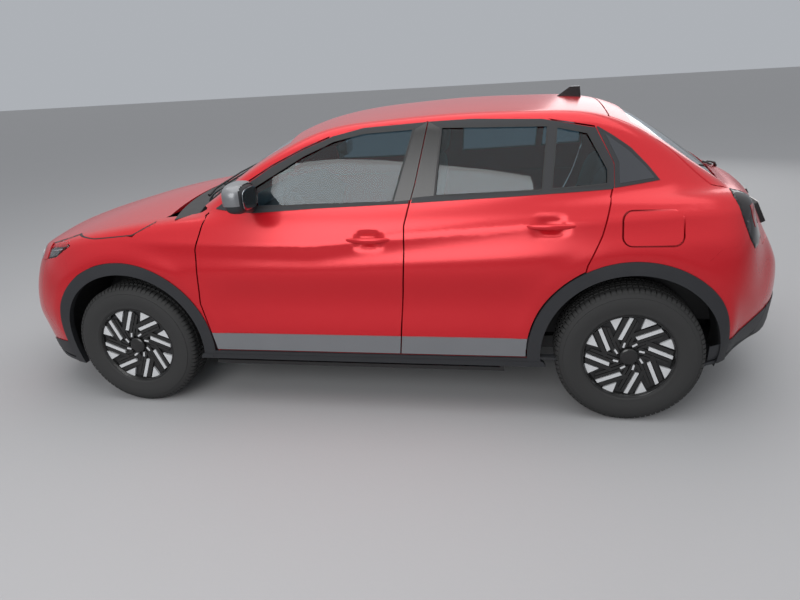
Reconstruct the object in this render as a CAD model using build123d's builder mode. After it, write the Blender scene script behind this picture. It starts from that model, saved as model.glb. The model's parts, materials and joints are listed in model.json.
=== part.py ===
from build123d import *
from math import cos, hypot, radians, sin, tan
import os

os.makedirs("parts", exist_ok=True)

# Millimetres. X runs rearward, Y to the car's right, Z up, from the floor under the middle of the car.

# Overall layout
wheelbase = 2557
front_overhang = 838
rear_overhang = 776
length = front_overhang + wheelbase + rear_overhang
front_x = front_overhang - length / 2
rear_x = front_x + wheelbase
b_pillar_x = front_x + 1480
widest = 886
height = 1523

# Walls, gaps and seats
side_wall = 62
frame_wall = 34
skin = 22
nose_wall = 30
shut_gap = 7
lid_gap = 7
glass_out = 5
glass_in = 9
cladding_out = 8
sill_gap = 1
seat = 0.3
cladding_top = 434
panel_skew = 15
side_lean = 0.416
reach = 1000

# Wheels and tyres
tyre_r = 341
tyre_w = 215
tread_w = 186
bead_r = 203
rim_r = 219
rim_w = 190
barrel_wall = 8
half_track = 770
cover_groups = 8
cover_t = 10
hub_r = 74
hub_bore_r = 34

# Steering axis: where it crosses the ball joint, and its lean inwards
ball_y = 668
ball_z = 236
steer_lean = 11.5
strut_r = 26
strut_top = 742

# Wheel openings
arch_r = 408
arch_z = 348
arch_lip = 24
arch_trim_w = 62
liner_wall = 6
front_well_y = 452
rear_well_y = 600
liner_skirt_z = 430

# Floor, pillars and interior
door_clear = 12
pillar_depth = 38
post_foot = 12
hinge_post_l = 105
hinge_post_top = 800
floor_z = 205
floor_t = 20
rear_floor_z = 430
firewall_x = front_x + 370
seat_step_x = rear_x - 600
floor_end_x = rear_x + 620
load_floor_x = rear_x + 120
load_floor_l = 360
load_floor_w = 900
load_floor_z = 460
rail_y = 410
rail_w = 60
rail_z = 500
rail_h = 90
beam_x = front_x - 712
tank_w = 900
exhaust_r = 25

# Sections of the body below the windows.
# Columns: x from its axle; underside z, half width; widest z, half width; shoulder z, half width; centre z.
front_sections = [
    (-838, 330, 180, 450, 230, 560, 180, 575),
    (-812, 240, 380, 450, 460, 650, 330, 700),
    (-762, 205, 520, 450, 600, 770, 400, 828),
    (-682, 200, 630, 470, 700, 825, 520, 878),
    (-572, 200, 720, 500, 785, 862, 640, 912),
    (-402, 200, 800, 580, 850, 905, 760, 955),
    (-202, 200, 845, 680, 878, 945, 815, 1000),
    (48, 200, 862, 740, 885, 985, 825, 1035),
    (348, 200, 868, 740, 886, 1020, 812, 1052),
    (748, 200, 868, 740, 886, 1036, 806, 1056),
]
rear_sections = [
    (-1209, 200, 868, 740, 886, 1046, 802, 1066),
    (-500, 200, 868, 750, 886, 1066, 797, 1086),
    (0, 215, 866, 760, 886, 1084, 785, 1106),
    (290, 240, 845, 750, 872, 1080, 745, 1106),
    (450, 260, 790, 700, 840, 1062, 690, 1100),
    (541, 270, 720, 650, 790, 1000, 640, 1065),
    (621, 280, 650, 600, 730, 850, 590, 1000),
    (676, 285, 580, 560, 670, 760, 540, 890),
    (736, 300, 470, 540, 560, 700, 450, 770),
    (776, 400, 280, 520, 330, 620, 280, 640),
]
lower_sections = [(front_x + row[0], *row[1:]) for row in front_sections]
lower_sections += [(rear_x + row[0], *row[1:]) for row in rear_sections]

# Sections of the cabin above it.
# Columns: x from its axle; half width at the base; roof edge z, half width; centre z.
cabin_base = 960
front_cabin = [
    (262, 790, 1012, 640, 1046),
    (467, 838, 1074, 700, 1150),
    (667, 838, 1196, 728, 1276),
    (867, 838, 1306, 690, 1380),
    (1097, 838, 1404, 652, 1440),
    (1347, 838, 1438, 640, 1463),
]
rear_cabin = [
    (-809, 838, 1455, 632, 1482),
    (-409, 838, 1450, 630, 1478),
    (-189, 836, 1430, 626, 1466),
    (-59, 832, 1388, 622, 1436),
    (91, 826, 1306, 612, 1362),
    (291, 806, 1168, 600, 1226),
    (451, 760, 1060, 585, 1104),
    (500, 740, 1022, 575, 1066),
]
cabin_sections = [(front_x + row[0], *row[1:]) for row in front_cabin]
cabin_sections += [(rear_x + row[0], *row[1:]) for row in rear_cabin]

# Shut lines of the left side, as x and z on the skin
fender_line = [
    (front_x + 486, 338),
    (front_x + 438, 600),
    (front_x + 452, 880),
    (front_x + 496, 1021),
    (front_x + 538, 1068),
]
front_frame_line = [
    (front_x + 728, 1190),
    (front_x + 855, 1262),
    (front_x + 1010, 1332),
    (front_x + 1162, 1388),
    (front_x + 1312, 1419),
]
pillar_line = [
    (b_pillar_x + 144, 1434),
    (b_pillar_x + 84, 1162),
    (b_pillar_x + 34, 983),
    (b_pillar_x - 8, 338),
]
rear_frame_line = [
    (rear_x - 732, 1438),
    (rear_x - 410, 1424),
    (rear_x - 180, 1380),
    (rear_x - 100, 1220),
    (rear_x - 98, 1125),
    (rear_x - 150, 931),
    (rear_x - 208, 802),
    (rear_x - 320, 338),
]

# Window openings of the left side, as x and z
front_window = [
    (front_x + 770, 1075),
    (front_x + 762, 1170),
    (front_x + 1012, 1303),
    (front_x + 1164, 1364),
    (front_x + 1314, 1394),
    (b_pillar_x + 78, 1404),
    (b_pillar_x - 20, 1083),
]
rear_window = [
    (b_pillar_x + 176, 1105),
    (b_pillar_x + 205, 1406),
    (rear_x - 386, 1393),
    (rear_x - 408, 1119),
]
rear_pane = [
    (rear_x - 372, 1122),
    (rear_x - 351, 1387),
    (rear_x - 212, 1356),
    (rear_x - 124, 1200),
    (rear_x - 124, 1136),
]
quarter_window = [
    (rear_x - 66, 1140),
    (rear_x - 66, 1262),
    (rear_x + 40, 1165),
    (rear_x + 50, 1144),
]

# Lids and lamps
hood_line = [
    (front_x - 900, 806),
    (front_x - 530, 866),
    (front_x - 262, 938),
    (front_x - 130, 932),
    (front_x + 100, 952),
    (front_x + 215, 1005),
    (front_x + 345, 1064),
]
hood_rear_mid = front_x + 190
hood_rear_side = front_x + 318
hood_side_y = 790
screen_base_mid = front_x + 270
screen_base_side = front_x + 470
screen_base_y = 664
screen_top_mid = front_x + 850
screen_top_side = front_x + 900
screen_top_y = 545
tailgate_x = rear_x - 115
tailgate_z = 792
tailgate_outline = [(575, 1600), (592, 1300), (640, 1100), (560, 1010), (540, tailgate_z)]
rear_screen_top_x = rear_x - 8
rear_screen_base_x = rear_x + 384
rear_screen_top_y = 520
rear_screen_base_y = 560
headlamp_outline = [
    (front_x - 296, 892),
    (front_x - 410, 826),
    (front_x - 560, 788),
    (front_x - 900, 724),
    (front_x - 900, 796),
    (front_x - 530, 856),
]
headlamp_y = 330
tail_lamp_outline = [
    (rear_x + 414, 1062),
    (rear_x + 444, 1200),
    (rear_x + 900, 1200),
    (rear_x + 900, 838),
    (rear_x + 562, 830),
    (rear_x + 510, 884),
    (rear_x + 448, 990),
]
front_bumper_line = [
    (front_x - 1000, 0),
    (front_x - 352, 0),
    (front_x - 352, 560),
    (front_x - 312, 690),
    (front_x - 330, 850),
    (front_x - 1000, 850),
]
rear_bumper_line = [
    (rear_x + 900, 0),
    (rear_x + 340, 0),
    (rear_x + 340, 560),
    (rear_x + 262, 775),
    (rear_x + 354, 862),
    (rear_x + 500, 862),
    (rear_x + 548, tailgate_z),
    (rear_x + 900, tailgate_z),
]
flap_x = rear_x + 64
flap_z = 958
flap_w = 250
flap_h = 150
flap_corner = 40
flap_thick = 8
flap_tilt = 19


def skin_y(z):
    """Half width of the car's side at a height, near the middle of its length."""
    return min(widest, widest - 40 + (cabin_base - z) * side_lean)


def lower_loft(inset, top, under):
    """The body below the windows, drawn in by inset at the sides, top above and under below."""
    half_length = length / 2
    draw_in = 1 - inset * nose_wall / skin / half_length
    with BuildPart() as body:
        for x, z_low, y_low, z_mid, y_mid, z_top, y_top, z_centre in lower_sections:
            low = (y_low - inset, z_low + under)
            mid = (y_mid - inset, z_mid)
            high = (y_top - inset, z_top - top)
            low_left = (-low[0], low[1])
            mid_left = (-mid[0], mid[1])
            high_left = (-high[0], high[1])
            with BuildSketch(Plane.YZ.offset(x * draw_in)):
                with BuildLine():
                    Line(low_left, low)
                    Line(low, mid)
                    TangentArc(mid, high, tangent=(0, 1))
                    ThreePointArc(high, (0, z_centre - top), high_left)
                    TangentArc(mid_left, high_left, tangent=(0, 1))
                    Line(mid_left, low_left)
                make_face()
        loft()
    return body.part


def cabin_loft(inset, top):
    """The roof and window sides, drawn in by inset at the sides and top above."""
    with BuildPart() as body:
        for x, y_base, z_edge, y_edge, z_centre in cabin_sections:
            base = (y_base - inset, cabin_base)
            edge = (y_edge - inset, z_edge - top)
            base_left = (-base[0], base[1])
            edge_left = (-edge[0], edge[1])
            with BuildSketch(Plane.YZ.offset(x)):
                with BuildLine():
                    Line(base_left, base)
                    Line(base, edge)
                    ThreePointArc(edge, (0, z_centre - top), edge_left)
                    Line(edge_left, base_left)
                make_face()
        loft()
    return body.part


def grown(points, by):
    """A closed outline moved out by a distance, or in by a negative one."""
    with BuildSketch() as outline:
        with BuildLine():
            Polyline(*points, close=True)
        make_face()
        if by:
            offset(amount=by, kind=Kind.INTERSECTION)
    return outline.sketch


def side_prism(points, by=0, skewed=False, depth=reach, sides=(-1,)):
    """A side outline of x and z pushed through the left side, along the doors' skewed edge if asked."""
    slope = tan(radians(panel_skew)) if skewed else 0
    placed = [(x + (reach - skin_y(z)) * slope, z) for x, z in points]
    with BuildPart() as prism:
        with BuildSketch(Plane.XZ.offset(reach)):
            add(grown(placed, by))
        extrude(amount=depth * hypot(1, slope), dir=(-slope, 1, 0))
        if 1 in sides:
            mirror(about=Plane.XZ)
    return prism.part


def through_prism(points, by=0):
    """A side outline of x and z pushed through the whole width."""
    with BuildPart() as prism:
        with BuildSketch(Plane.XZ.offset(-reach)):
            add(grown(points, by))
        extrude(amount=2 * reach)
    return prism.part


def plan_prism(points, by=0):
    """A top outline of x and y pushed up through the whole height."""
    with BuildPart() as prism:
        with BuildSketch(Plane.XY.offset(-10)):
            add(grown(points, by))
        extrude(amount=2 * reach)
    return prism.part


def rear_prism(points, x, by=0):
    """A rear outline of y and z pushed rearward from x."""
    with BuildPart() as prism:
        with BuildSketch(Plane.YZ.offset(x)):
            add(grown([*points, *[(-y, z) for y, z in reversed(points)]], by))
        extrude(amount=reach)
    return prism.part


def bowed_plan(mid_front, side_front, mid_rear, side_rear, y_front, y_rear):
    """A top outline between two bowed edges, pushed up through the whole height."""
    with BuildPart() as prism:
        with BuildSketch(Plane.XY):
            with BuildLine():
                ThreePointArc((side_front, -y_front), (mid_front, 0), (side_front, y_front))
                Line((side_front, y_front), (side_rear, y_rear))
                ThreePointArc((side_rear, y_rear), (mid_rear, 0), (side_rear, -y_rear))
                Line((side_rear, -y_rear), (side_front, -y_front))
            make_face()
        extrude(amount=2 * reach)
    return prism.part


def drum(x, radius, y_in, y_out, sides=(-1, 1)):
    """A cylinder across the wheel opening from y_in outwards, on the sides named."""
    with BuildPart() as piece:
        for side in sides:
            with BuildSketch(Plane.XZ.offset(-side * y_in)):
                with Locations((x, arch_z)):
                    Circle(radius)
            extrude(amount=-side * (y_out - y_in))
    return piece.part


def slab(low, high):
    """A block between two corners."""
    size = [high[i] - low[i] for i in range(3)]
    with BuildPart() as block:
        with Locations(tuple((low[i] + high[i]) / 2 for i in range(3))):
            Box(*size)
    return block.part


def both_sides(shape):
    """A left-hand piece with its right-hand twin."""
    with BuildPart() as pair:
        add(shape)
        add(mirror(shape, about=Plane.XZ))
    return pair.part


def common(shape, *tools):
    """What a shape shares with every tool."""
    with BuildPart() as rest:
        add(shape)
        for tool in tools:
            add(tool, mode=Mode.INTERSECT)
    return rest.part


def less(shape, *tools):
    """A shape with each tool cut away."""
    with BuildPart() as rest:
        add(shape)
        add(tools, mode=Mode.SUBTRACT)
    return rest.part


def save(shape, name):
    """Label a finished piece and write it out."""
    shape.label = name
    export_step(shape, f"parts/{name}.step")


# Body volumes: the outer skin, thick inner walls for doors and frame, thin ones for bolted panels
lower_outer = lower_loft(0, 0, 0)
outer = lower_outer + cabin_loft(0, 0)
thick_inner = lower_loft(side_wall, skin, -60) + cabin_loft(frame_wall, skin)
thin_inner = lower_loft(skin, skin, -60) + cabin_loft(frame_wall, skin)
thick_shell = less(outer, thick_inner)
thin_shell = less(outer, thin_inner)
proud_outer = lower_loft(-cladding_out, -cladding_out, 0)
glass_skin = less(cabin_loft(glass_out, glass_out), cabin_loft(glass_in, glass_in))

# Wheel openings: the hole in the skin, and the trim around it
opening_r = arch_r + arch_lip
trim_r = arch_r + arch_trim_w
trim_seats = [drum(x, trim_r + seat, 0, reach) for x in (front_x, rear_x)]
door_arch = drum(rear_x, trim_r + shut_gap, 0, reach)

# Doors, windows and cladding of the left side, and their twins
front_door_line = fender_line + front_frame_line + pillar_line
rear_door_line = pillar_line[::-1] + rear_frame_line
door_depth = reach - 604
low_half = slab((-reach, -reach, 0), (reach + 400, 0, cladding_top))
doors = {
    "front": (front_door_line, [front_window]),
    "rear": (rear_door_line, [rear_window, rear_pane]),
}
for name, (outline, windows) in doors.items():
    shape = less(side_prism(outline, -shut_gap / 2, True, door_depth), door_arch)
    holes = side_prism(windows[0], 0, False, door_depth)
    if len(windows) > 1:
        holes = holes + side_prism(windows[1], 0, False, door_depth)
    pieces = {
        "door": less(common(thick_shell, shape), holes),
        "door_glass": common(glass_skin, holes),
        "door_cladding": less(common(shape, proud_outer, low_half), lower_outer),
    }
    for piece, left in pieces.items():
        save(left, f"{piece}_{name}_l")
        save(mirror(left, about=Plane.XZ), f"{piece}_{name}_r")

# Shapes and holes of the doors, lids, lamps and bumpers
door_holes = both_sides(side_prism(front_door_line, shut_gap / 2, True, door_depth)
                        + side_prism(rear_door_line, shut_gap / 2, True, door_depth))
hood_top = hood_line + [(front_x + 345, 1300), (front_x - 900, 1300)]
nose_limit = (-length - reach, -length)
front_limit = bowed_plan(*nose_limit, hood_rear_mid, hood_rear_side, reach, reach)
front_limit_hole = bowed_plan(*nose_limit, hood_rear_mid + lid_gap, hood_rear_side + lid_gap, reach, reach)
hood_hole = common(through_prism(hood_top, lid_gap), front_limit_hole)
cowl_shape = bowed_plan(hood_rear_mid + lid_gap, hood_rear_side + lid_gap, screen_base_mid, screen_base_side,
                        hood_side_y, screen_base_y)
screen_shape = bowed_plan(screen_base_mid, screen_base_side, screen_top_mid, screen_top_side, screen_base_y,
                          screen_top_y)
lift_shape = rear_prism(tailgate_outline, tailgate_x + lid_gap / 2, -lid_gap / 2)
lift_hole = rear_prism(tailgate_outline, tailgate_x - lid_gap / 2, lid_gap / 2)
rear_screen_shape = plan_prism([
    (rear_screen_top_x, -rear_screen_top_y),
    (rear_screen_top_x, rear_screen_top_y),
    (rear_screen_base_x, rear_screen_base_y),
    (rear_screen_base_x, -rear_screen_base_y),
])
nose_middle = slab((-length, -headlamp_y, 0), (0, headlamp_y, height))
headlamp_shape = less(through_prism(headlamp_outline), nose_middle)
tail_lamp_shape = less(through_prism(tail_lamp_outline), lift_hole)
front_bumper_shape = less(through_prism(front_bumper_line), hood_hole)
rear_bumper_shape = through_prism(rear_bumper_line)
front_block = through_prism([
    (-length, -10),
    (front_x + 486, -10),
    *fender_line,
    (front_x + 345, 1064),
    (-length, 1064),
])

# Bolted panels
cabin_glass_zone = slab((-length, -reach, cabin_base + 40), (length, reach, height))
hood = less(common(thin_shell, through_prism(hood_top), front_limit), slab((-length, -reach, 0), (length, reach, 700)))
save(hood, "hood")
save(less(common(thin_shell, front_bumper_shape), trim_seats[0], headlamp_shape), "front_bumper")
save(common(thin_shell, headlamp_shape), "headlamps")
save(less(common(thin_shell, rear_bumper_shape), trim_seats[1], tail_lamp_shape), "rear_bumper")
save(common(thin_shell, tail_lamp_shape), "tail_lamps")
fenders = less(common(thin_shell, front_block), hood_hole, front_bumper_shape, headlamp_shape, trim_seats[0], cowl_shape,
               door_holes, slab((-length, 60 - hood_side_y, 0), (length, hood_side_y - 60, height)))
fender_pair = fenders.solids().sort_by(SortBy.VOLUME)[-2:]
save(Compound(fender_pair), "fenders")
tailgate = less(common(thin_shell, lift_shape), rear_screen_shape)
save(tailgate, "tailgate")
save(common(glass_skin, rear_screen_shape), "tailgate_glass")
save(common(less(thin_shell, screen_shape), cowl_shape, cabin_glass_zone), "cowl")
save(common(glass_skin, screen_shape), "windscreen")

# Fixed frame: roof, pillars, quarters and sills, with the flap's pocket on the left
flap_y = widest - 40 + (cabin_base - flap_z) * side_lean
flap_plane = Plane(
    origin=(flap_x, -flap_y, flap_z),
    x_dir=(1, 0, 0),
    z_dir=(0, -cos(radians(flap_tilt)), sin(radians(flap_tilt))),
)


def flap_block(by, out, depth):
    """The fuel flap's rounded outline grown by a distance, from out to depth along its normal."""
    with BuildPart() as block:
        with BuildSketch(flap_plane.offset(-depth)):
            RectangleRounded(flap_w + 2 * by, flap_h + 2 * by, flap_corner + by)
        extrude(amount=out + depth)
    return block.part


quarter_hole = both_sides(side_prism(quarter_window, 0, False, door_depth))
post_out = widest - side_wall - door_clear
post_in = post_out - pillar_depth
roof_y = skin_y(height) - frame_wall - door_clear
with BuildPart() as post_section:
    with BuildSketch(Plane.YZ.offset(b_pillar_x - 100)):
        with BuildLine():
            Polyline(
                (post_foot - post_out, floor_z),
                (post_foot - post_out, 450),
                (-post_out, 520),
                (-post_out, 880),
                (-skin_y(1000) + frame_wall + door_clear, 1000),
                (-roof_y, height),
                (-roof_y + pillar_depth, height),
                (-skin_y(1000) + frame_wall + door_clear + pillar_depth, 1000),
                (-post_in, 880),
                (-post_in, floor_z),
                close=True,
            )
        make_face()
    extrude(amount=400)
pillar_band = [(x - 40, z) for x, z in pillar_line] + [(x + 40, z) for x, z in reversed(pillar_line)]
pillar_band = [(x, z + 60 if z > 1400 else min(z, floor_z) if z < 400 else z) for x, z in pillar_band]
b_pillar = common(post_section.part, through_prism(pillar_band), thick_inner)
hinge_pillar = slab((firewall_x, -post_out, floor_z), (firewall_x + hinge_post_l, -post_in, hinge_post_top))
inner_sill = common(thick_inner, slab((firewall_x, -reach, floor_z), (rear_x - 380, -post_in, 328)))
posts = b_pillar + hinge_pillar + inner_sill
frame = less(
    thick_shell,
    front_block,
    hood_hole,
    cowl_shape,
    screen_shape,
    door_holes,
    lift_hole,
    rear_bumper_shape,
    tail_lamp_shape,
    quarter_hole,
)
frame = frame + posts + mirror(posts, about=Plane.XZ)
frame = less(frame, trim_seats[0], trim_seats[1], flap_block(lid_gap, 60, 40))
save(frame, "body_frame")
save(common(outer, flap_block(0, 60, flap_thick)), "fuel_flap")
save(common(glass_skin, quarter_hole), "quarter_glass")

# Wheel opening trims and sill trims, and the liners inside the openings
def wheel_ring(x, inner_r, outer_r, y_in):
    """A ring about a wheel opening's centre, from y_in outwards on both sides."""
    return less(drum(x, outer_r, y_in, reach), drum(x, inner_r, y_in - 1, reach))


rings = wheel_ring(front_x, arch_r, trim_r, 0) + wheel_ring(rear_x, arch_r, trim_r, 0)
rings = less(common(rings, proud_outer), thin_inner)
sill_top = fender_line[0][1] - shut_gap
_, sill_low_z, sill_low_y, sill_mid_z, sill_mid_y, *_ = front_sections[-1]
sill_slope = (sill_mid_y - sill_low_y) / (sill_mid_z - sill_low_z)
sill_top_y = sill_low_y + sill_slope * (sill_top - sill_low_z)
with BuildPart() as sill_trims:
    with BuildSketch(Plane.YZ.offset(front_x)):
        with BuildLine():
            Polyline(
                (sill_low_y + sill_gap, sill_low_z),
                (sill_top_y + sill_gap, sill_top),
                (sill_top_y + cladding_out, sill_top),
                (sill_low_y + cladding_out, sill_low_z),
                close=True,
            )
        make_face()
    extrude(amount=wheelbase)
    mirror(about=Plane.XZ)
    add(trim_seats, mode=Mode.SUBTRACT)
with BuildPart() as lower_trims:
    add(rings)
    add(sill_trims.part)
save(lower_trims.part, "lower_trims")

wells = []
for x, well_y in ((front_x, front_well_y), (rear_x, rear_well_y)):
    wall = less(drum(x, opening_r, well_y - liner_wall, reach), drum(x, opening_r - liner_wall, well_y, reach))
    wells.append(less(common(wall, thin_inner), slab((-length, -reach, 0), (length, reach, 215)),
                      slab((-length, -well_y - 1, 0), (length, well_y + 1, liner_skirt_z))))
save(wells[0] + wells[1], "wheel_liners")

# Wheels: a revolved tyre and rim, with the slanted bars of the cover
def wheel_place(x, side):
    """The plane of a wheel, its axis pointing outwards."""
    return Plane(origin=(x, side * half_track, tyre_r), x_dir=(1, 0, 0), z_dir=(0, side, 0))


with BuildPart() as tyre:
    with BuildSketch(Plane.XZ):
        with BuildLine():
            Polyline(
                (bead_r, -rim_w / 2 + 12),
                (rim_r + 8, -rim_w / 2),
                (tyre_r - 58, -tyre_w / 2),
                (tyre_r - 22, -tread_w / 2 - 6),
                (tyre_r, -tread_w / 2 + 14),
                (tyre_r, tread_w / 2 - 14),
                (tyre_r - 22, tread_w / 2 + 6),
                (tyre_r - 58, tyre_w / 2),
                (rim_r + 8, rim_w / 2),
                (bead_r, rim_w / 2 - 12),
                close=True,
            )
        make_face()
    revolve(axis=Axis.Z)

with BuildPart() as wheel:
    with BuildSketch(Plane.XZ):
        with BuildLine():
            Polyline(
                (hub_bore_r, -60),
                (hub_r, -60),
                (hub_r, 20),
                (bead_r - barrel_wall, 40),
                (bead_r - barrel_wall, -rim_w / 2 + 4),
                (rim_r - 6, -rim_w / 2 - 2),
                (rim_r - 2, -rim_w / 2 + 3),
                (bead_r - seat, -rim_w / 2 + 11),
                (bead_r - seat, rim_w / 2 - 11),
                (rim_r - 2, rim_w / 2 - 3),
                (rim_r - 8, rim_w / 2 + 3),
                (bead_r - barrel_wall, rim_w / 2 - 6),
                (bead_r - barrel_wall, 60),
                (hub_r, 50),
                (hub_r - 12, 66),
                (hub_bore_r, 66),
                close=True,
            )
        make_face()
    revolve(axis=Axis.Z)
    with BuildSketch(Plane.XY.offset(70)):
        Circle(bead_r - barrel_wall + 1)
        with PolarLocations(0, cover_groups):
            with Locations((130, 0)):
                Trapezoid(84, 76, 68, rotation=90, mode=Mode.SUBTRACT)
    extrude(amount=cover_t)
    with BuildSketch(Plane.XY.offset(60)):
        Circle(hub_r - 12)
    extrude(amount=cover_t + 18)

wheel_places = [("front_l", front_x, -1), ("front_r", front_x, 1), ("rear_l", rear_x, -1), ("rear_r", rear_x, 1)]
for name, x, side in wheel_places:
    save(wheel_place(x, side) * tyre.part, f"tyre_{name}")
    save(wheel_place(x, side) * wheel.part, f"wheel_{name}")


# Steered knuckles: ball joint, upright, hub carrier, stub axle and strut on the leaning steering axis
lean = radians(steer_lean)
strut_len = (strut_top - ball_z) / cos(lean)
steer_plane = Plane(origin=(front_x, ball_y, ball_z), x_dir=(1, 0, 0), z_dir=(0, -sin(lean), cos(lean)))
with BuildPart() as knuckle:
    with BuildSketch(steer_plane.offset(4)):
        Circle(16)
    extrude(amount=90)
    with BuildSketch(Plane.YZ.offset(front_x - 35)):
        with BuildLine():
            Polyline(
                (ball_y - 26, ball_z + 30),
                (ball_y + 16, ball_z + 30),
                (ball_y + 16, tyre_r + 60),
                (ball_y - 30, tyre_r + 170),
                (ball_y - 78, tyre_r + 170),
                (ball_y - 40, tyre_r + 40),
                close=True,
            )
        make_face()
    extrude(amount=70)
    with BuildSketch(Plane(origin=(front_x, ball_y, tyre_r), x_dir=(1, 0, 0), z_dir=(0, 1, 0))):
        Circle(hub_r - 18)
    extrude(amount=half_track - 60 - seat - ball_y)
    with BuildSketch(Plane(origin=(front_x, ball_y, tyre_r), x_dir=(1, 0, 0), z_dir=(0, 1, 0))):
        Circle(hub_bore_r - 0.05)
    extrude(amount=half_track + 50 - ball_y)
    with BuildSketch(steer_plane.offset(strut_len / 2)):
        Circle(strut_r)
    extrude(amount=strut_len / 2)
save(knuckle.part, "knuckle_r")
save(mirror(knuckle.part, about=Plane.XZ), "knuckle_l")

# Front subframe with its lower arms, whose ends carry the ball joints
with BuildPart() as front_suspension:
    with BuildSketch(Plane.XY.offset(floor_z - 5)):
        with Locations((front_x, 0)):
            RectangleRounded(430, 760, 60)
        with BuildLine():
            Polyline(
                (front_x - 160, 0),
                (front_x - 120, 370),
                (front_x - 32, ball_y + 8),
                (front_x + 32, ball_y + 8),
                (front_x + 120, 370),
                (front_x + 160, 0),
                (front_x + 120, -370),
                (front_x + 32, -ball_y - 8),
                (front_x - 32, -ball_y - 8),
                (front_x - 120, -370),
                close=True,
            )
        make_face()
    extrude(amount=ball_z - seat - floor_z + 5)
save(front_suspension.part, "front_suspension")

# Rear axle: a twist beam with trailing arms and stub axles
with BuildPart() as rear_axle:
    with BuildSketch(Plane.XZ.offset(-640)):
        with Locations((rear_x - 230, 320)):
            Circle(38)
    extrude(amount=1280)
    for side in (-1, 1):
        with BuildSketch(Plane.XZ.offset(-side * (rear_well_y + 14))):
            with BuildLine():
                Polyline(
                    (rear_x + 50, tyre_r + 40),
                    (rear_x + 50, tyre_r - 50),
                    (rear_x - 420, 290),
                    (rear_x - 420, 350),
                    close=True,
                )
            make_face()
        extrude(amount=-side * 46)
        with BuildSketch(Plane.XZ.offset(-side * (rear_well_y + 14))):
            with Locations((rear_x, tyre_r)):
                Circle(hub_r - 18)
        extrude(amount=-side * (half_track - 60 - seat - rear_well_y - 14))
        with BuildSketch(Plane.XZ.offset(-side * (rear_well_y + 14))):
            with Locations((rear_x, tyre_r)):
                Circle(hub_bore_r - 0.05)
        extrude(amount=-side * (half_track + 50 - rear_well_y - 14))
save(rear_axle.part, "rear_axle")

# Floor: flat front pan, firewall, rails and bumper beam, step and boot floor
floor = slab((firewall_x, -post_in, floor_z), (seat_step_x + floor_t, post_in, floor_z + floor_t))
floor += slab((firewall_x, -post_in, floor_z), (firewall_x + floor_t, post_in, 960))
floor += slab((seat_step_x, -post_in, floor_z), (seat_step_x + floor_t, post_in, rear_floor_z))
boot = common(slab((seat_step_x, -reach, rear_floor_z), (floor_end_x, reach, rear_floor_z + floor_t)), thick_inner)
boot = less(boot, slab((seat_step_x - 1, post_in, 0), (rear_x - 380, reach, height)),
            slab((seat_step_x - 1, -reach, 0), (rear_x - 380, -post_in, height)))
floor += boot
floor += slab((load_floor_x, -load_floor_w / 2, rear_floor_z),
              (load_floor_x + load_floor_l, load_floor_w / 2, load_floor_z))
for side in (-1, 1):
    rail = sorted((side * (rail_y - rail_w), side * rail_y))
    floor += slab((beam_x, rail[0], rail_z), (firewall_x + 1, rail[1], rail_z + rail_h))
floor += common(slab((-length, -520, rail_z), (beam_x, 520, rail_z + rail_h)), thin_inner)
floor = less(floor, drum(front_x, opening_r + 1, front_well_y - liner_wall - seat, reach),
             drum(rear_x, opening_r + 1, rear_well_y - liner_wall - seat, reach))
save(floor, "floor_pan")

# Engine, tank and exhaust
save(slab((front_x - 240, -320, ball_z), (front_x + 200, 330, 840)), "engine_block")
save(slab((rear_x - 560, -tank_w / 2, 255), (rear_x - 300, tank_w / 2, rear_floor_z)), "fuel_tank")
with BuildPart() as exhaust:
    with BuildLine() as pipe_route:
        FilletPolyline(
            (front_x + 400, 0, floor_z - exhaust_r - seat),
            (rear_x - 640, 0, floor_z - exhaust_r - seat),
            (rear_x - 80, 0, 230),
            (rear_x + 260, 0, 330),
            radius=120,
        )
    with BuildSketch(Plane(origin=pipe_route.line @ 0, z_dir=pipe_route.line % 0)):
        Circle(exhaust_r)
    sweep()
    with BuildSketch(Plane.YZ.offset(rear_x + 250)):
        with Locations((0, rear_floor_z - 90)):
            RectangleRounded(640, 180, 70)
    extrude(amount=230)
save(exhaust.part, "exhaust")

# Interior: dashboard, steering wheel and seats
dash_face_x = front_x + 800
dash_y = post_in - 20
with BuildPart() as dashboard:
    with BuildSketch(Plane.XZ.offset(-dash_y)):
        with BuildLine():
            Polyline(
                (firewall_x + floor_t, 640),
                (firewall_x + floor_t, 960),
                (dash_face_x - 140, 1010),
                (dash_face_x, 900),
                (dash_face_x - 60, 640),
                close=True,
            )
        make_face()
    extrude(amount=2 * dash_y)
save(dashboard.part, "dashboard")

wheel_tilt = 24
steering_plane = Plane(
    origin=(dash_face_x + 30, -370, 900),
    x_dir=(0, 1, 0),
    z_dir=(cos(radians(wheel_tilt)), 0, sin(radians(wheel_tilt))),
)
with BuildPart() as steering_wheel:
    with BuildSketch(Plane.XZ):
        with Locations((178, 40)):
            Circle(14)
    revolve(axis=Axis.Z)
    with BuildSketch(Plane.XY.offset(20)):
        Circle(52)
        Rectangle(344, 44)
        with Locations((0, -85)):
            Rectangle(44, 170)
    extrude(amount=26)
save(steering_plane * steering_wheel.part, "steering_wheel")


def seat_shape(x, y_mid, width, cushion_z, floor, back_z):
    """A seat of one cushion, its base and its raked backrest."""
    with BuildPart() as shape:
        with BuildSketch(Plane.XZ.offset(-y_mid - width / 2)):
            with BuildLine():
                Polyline(
                    (x, floor),
                    (x, cushion_z - 20),
                    (x + 40, cushion_z),
                    (x + 470, cushion_z - 40),
                    (x + 600, back_z),
                    (x + 700, back_z),
                    (x + 600, cushion_z - 100),
                    (x + 560, floor),
                    close=True,
                )
            make_face()
        extrude(amount=width)
    return shape.part


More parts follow.
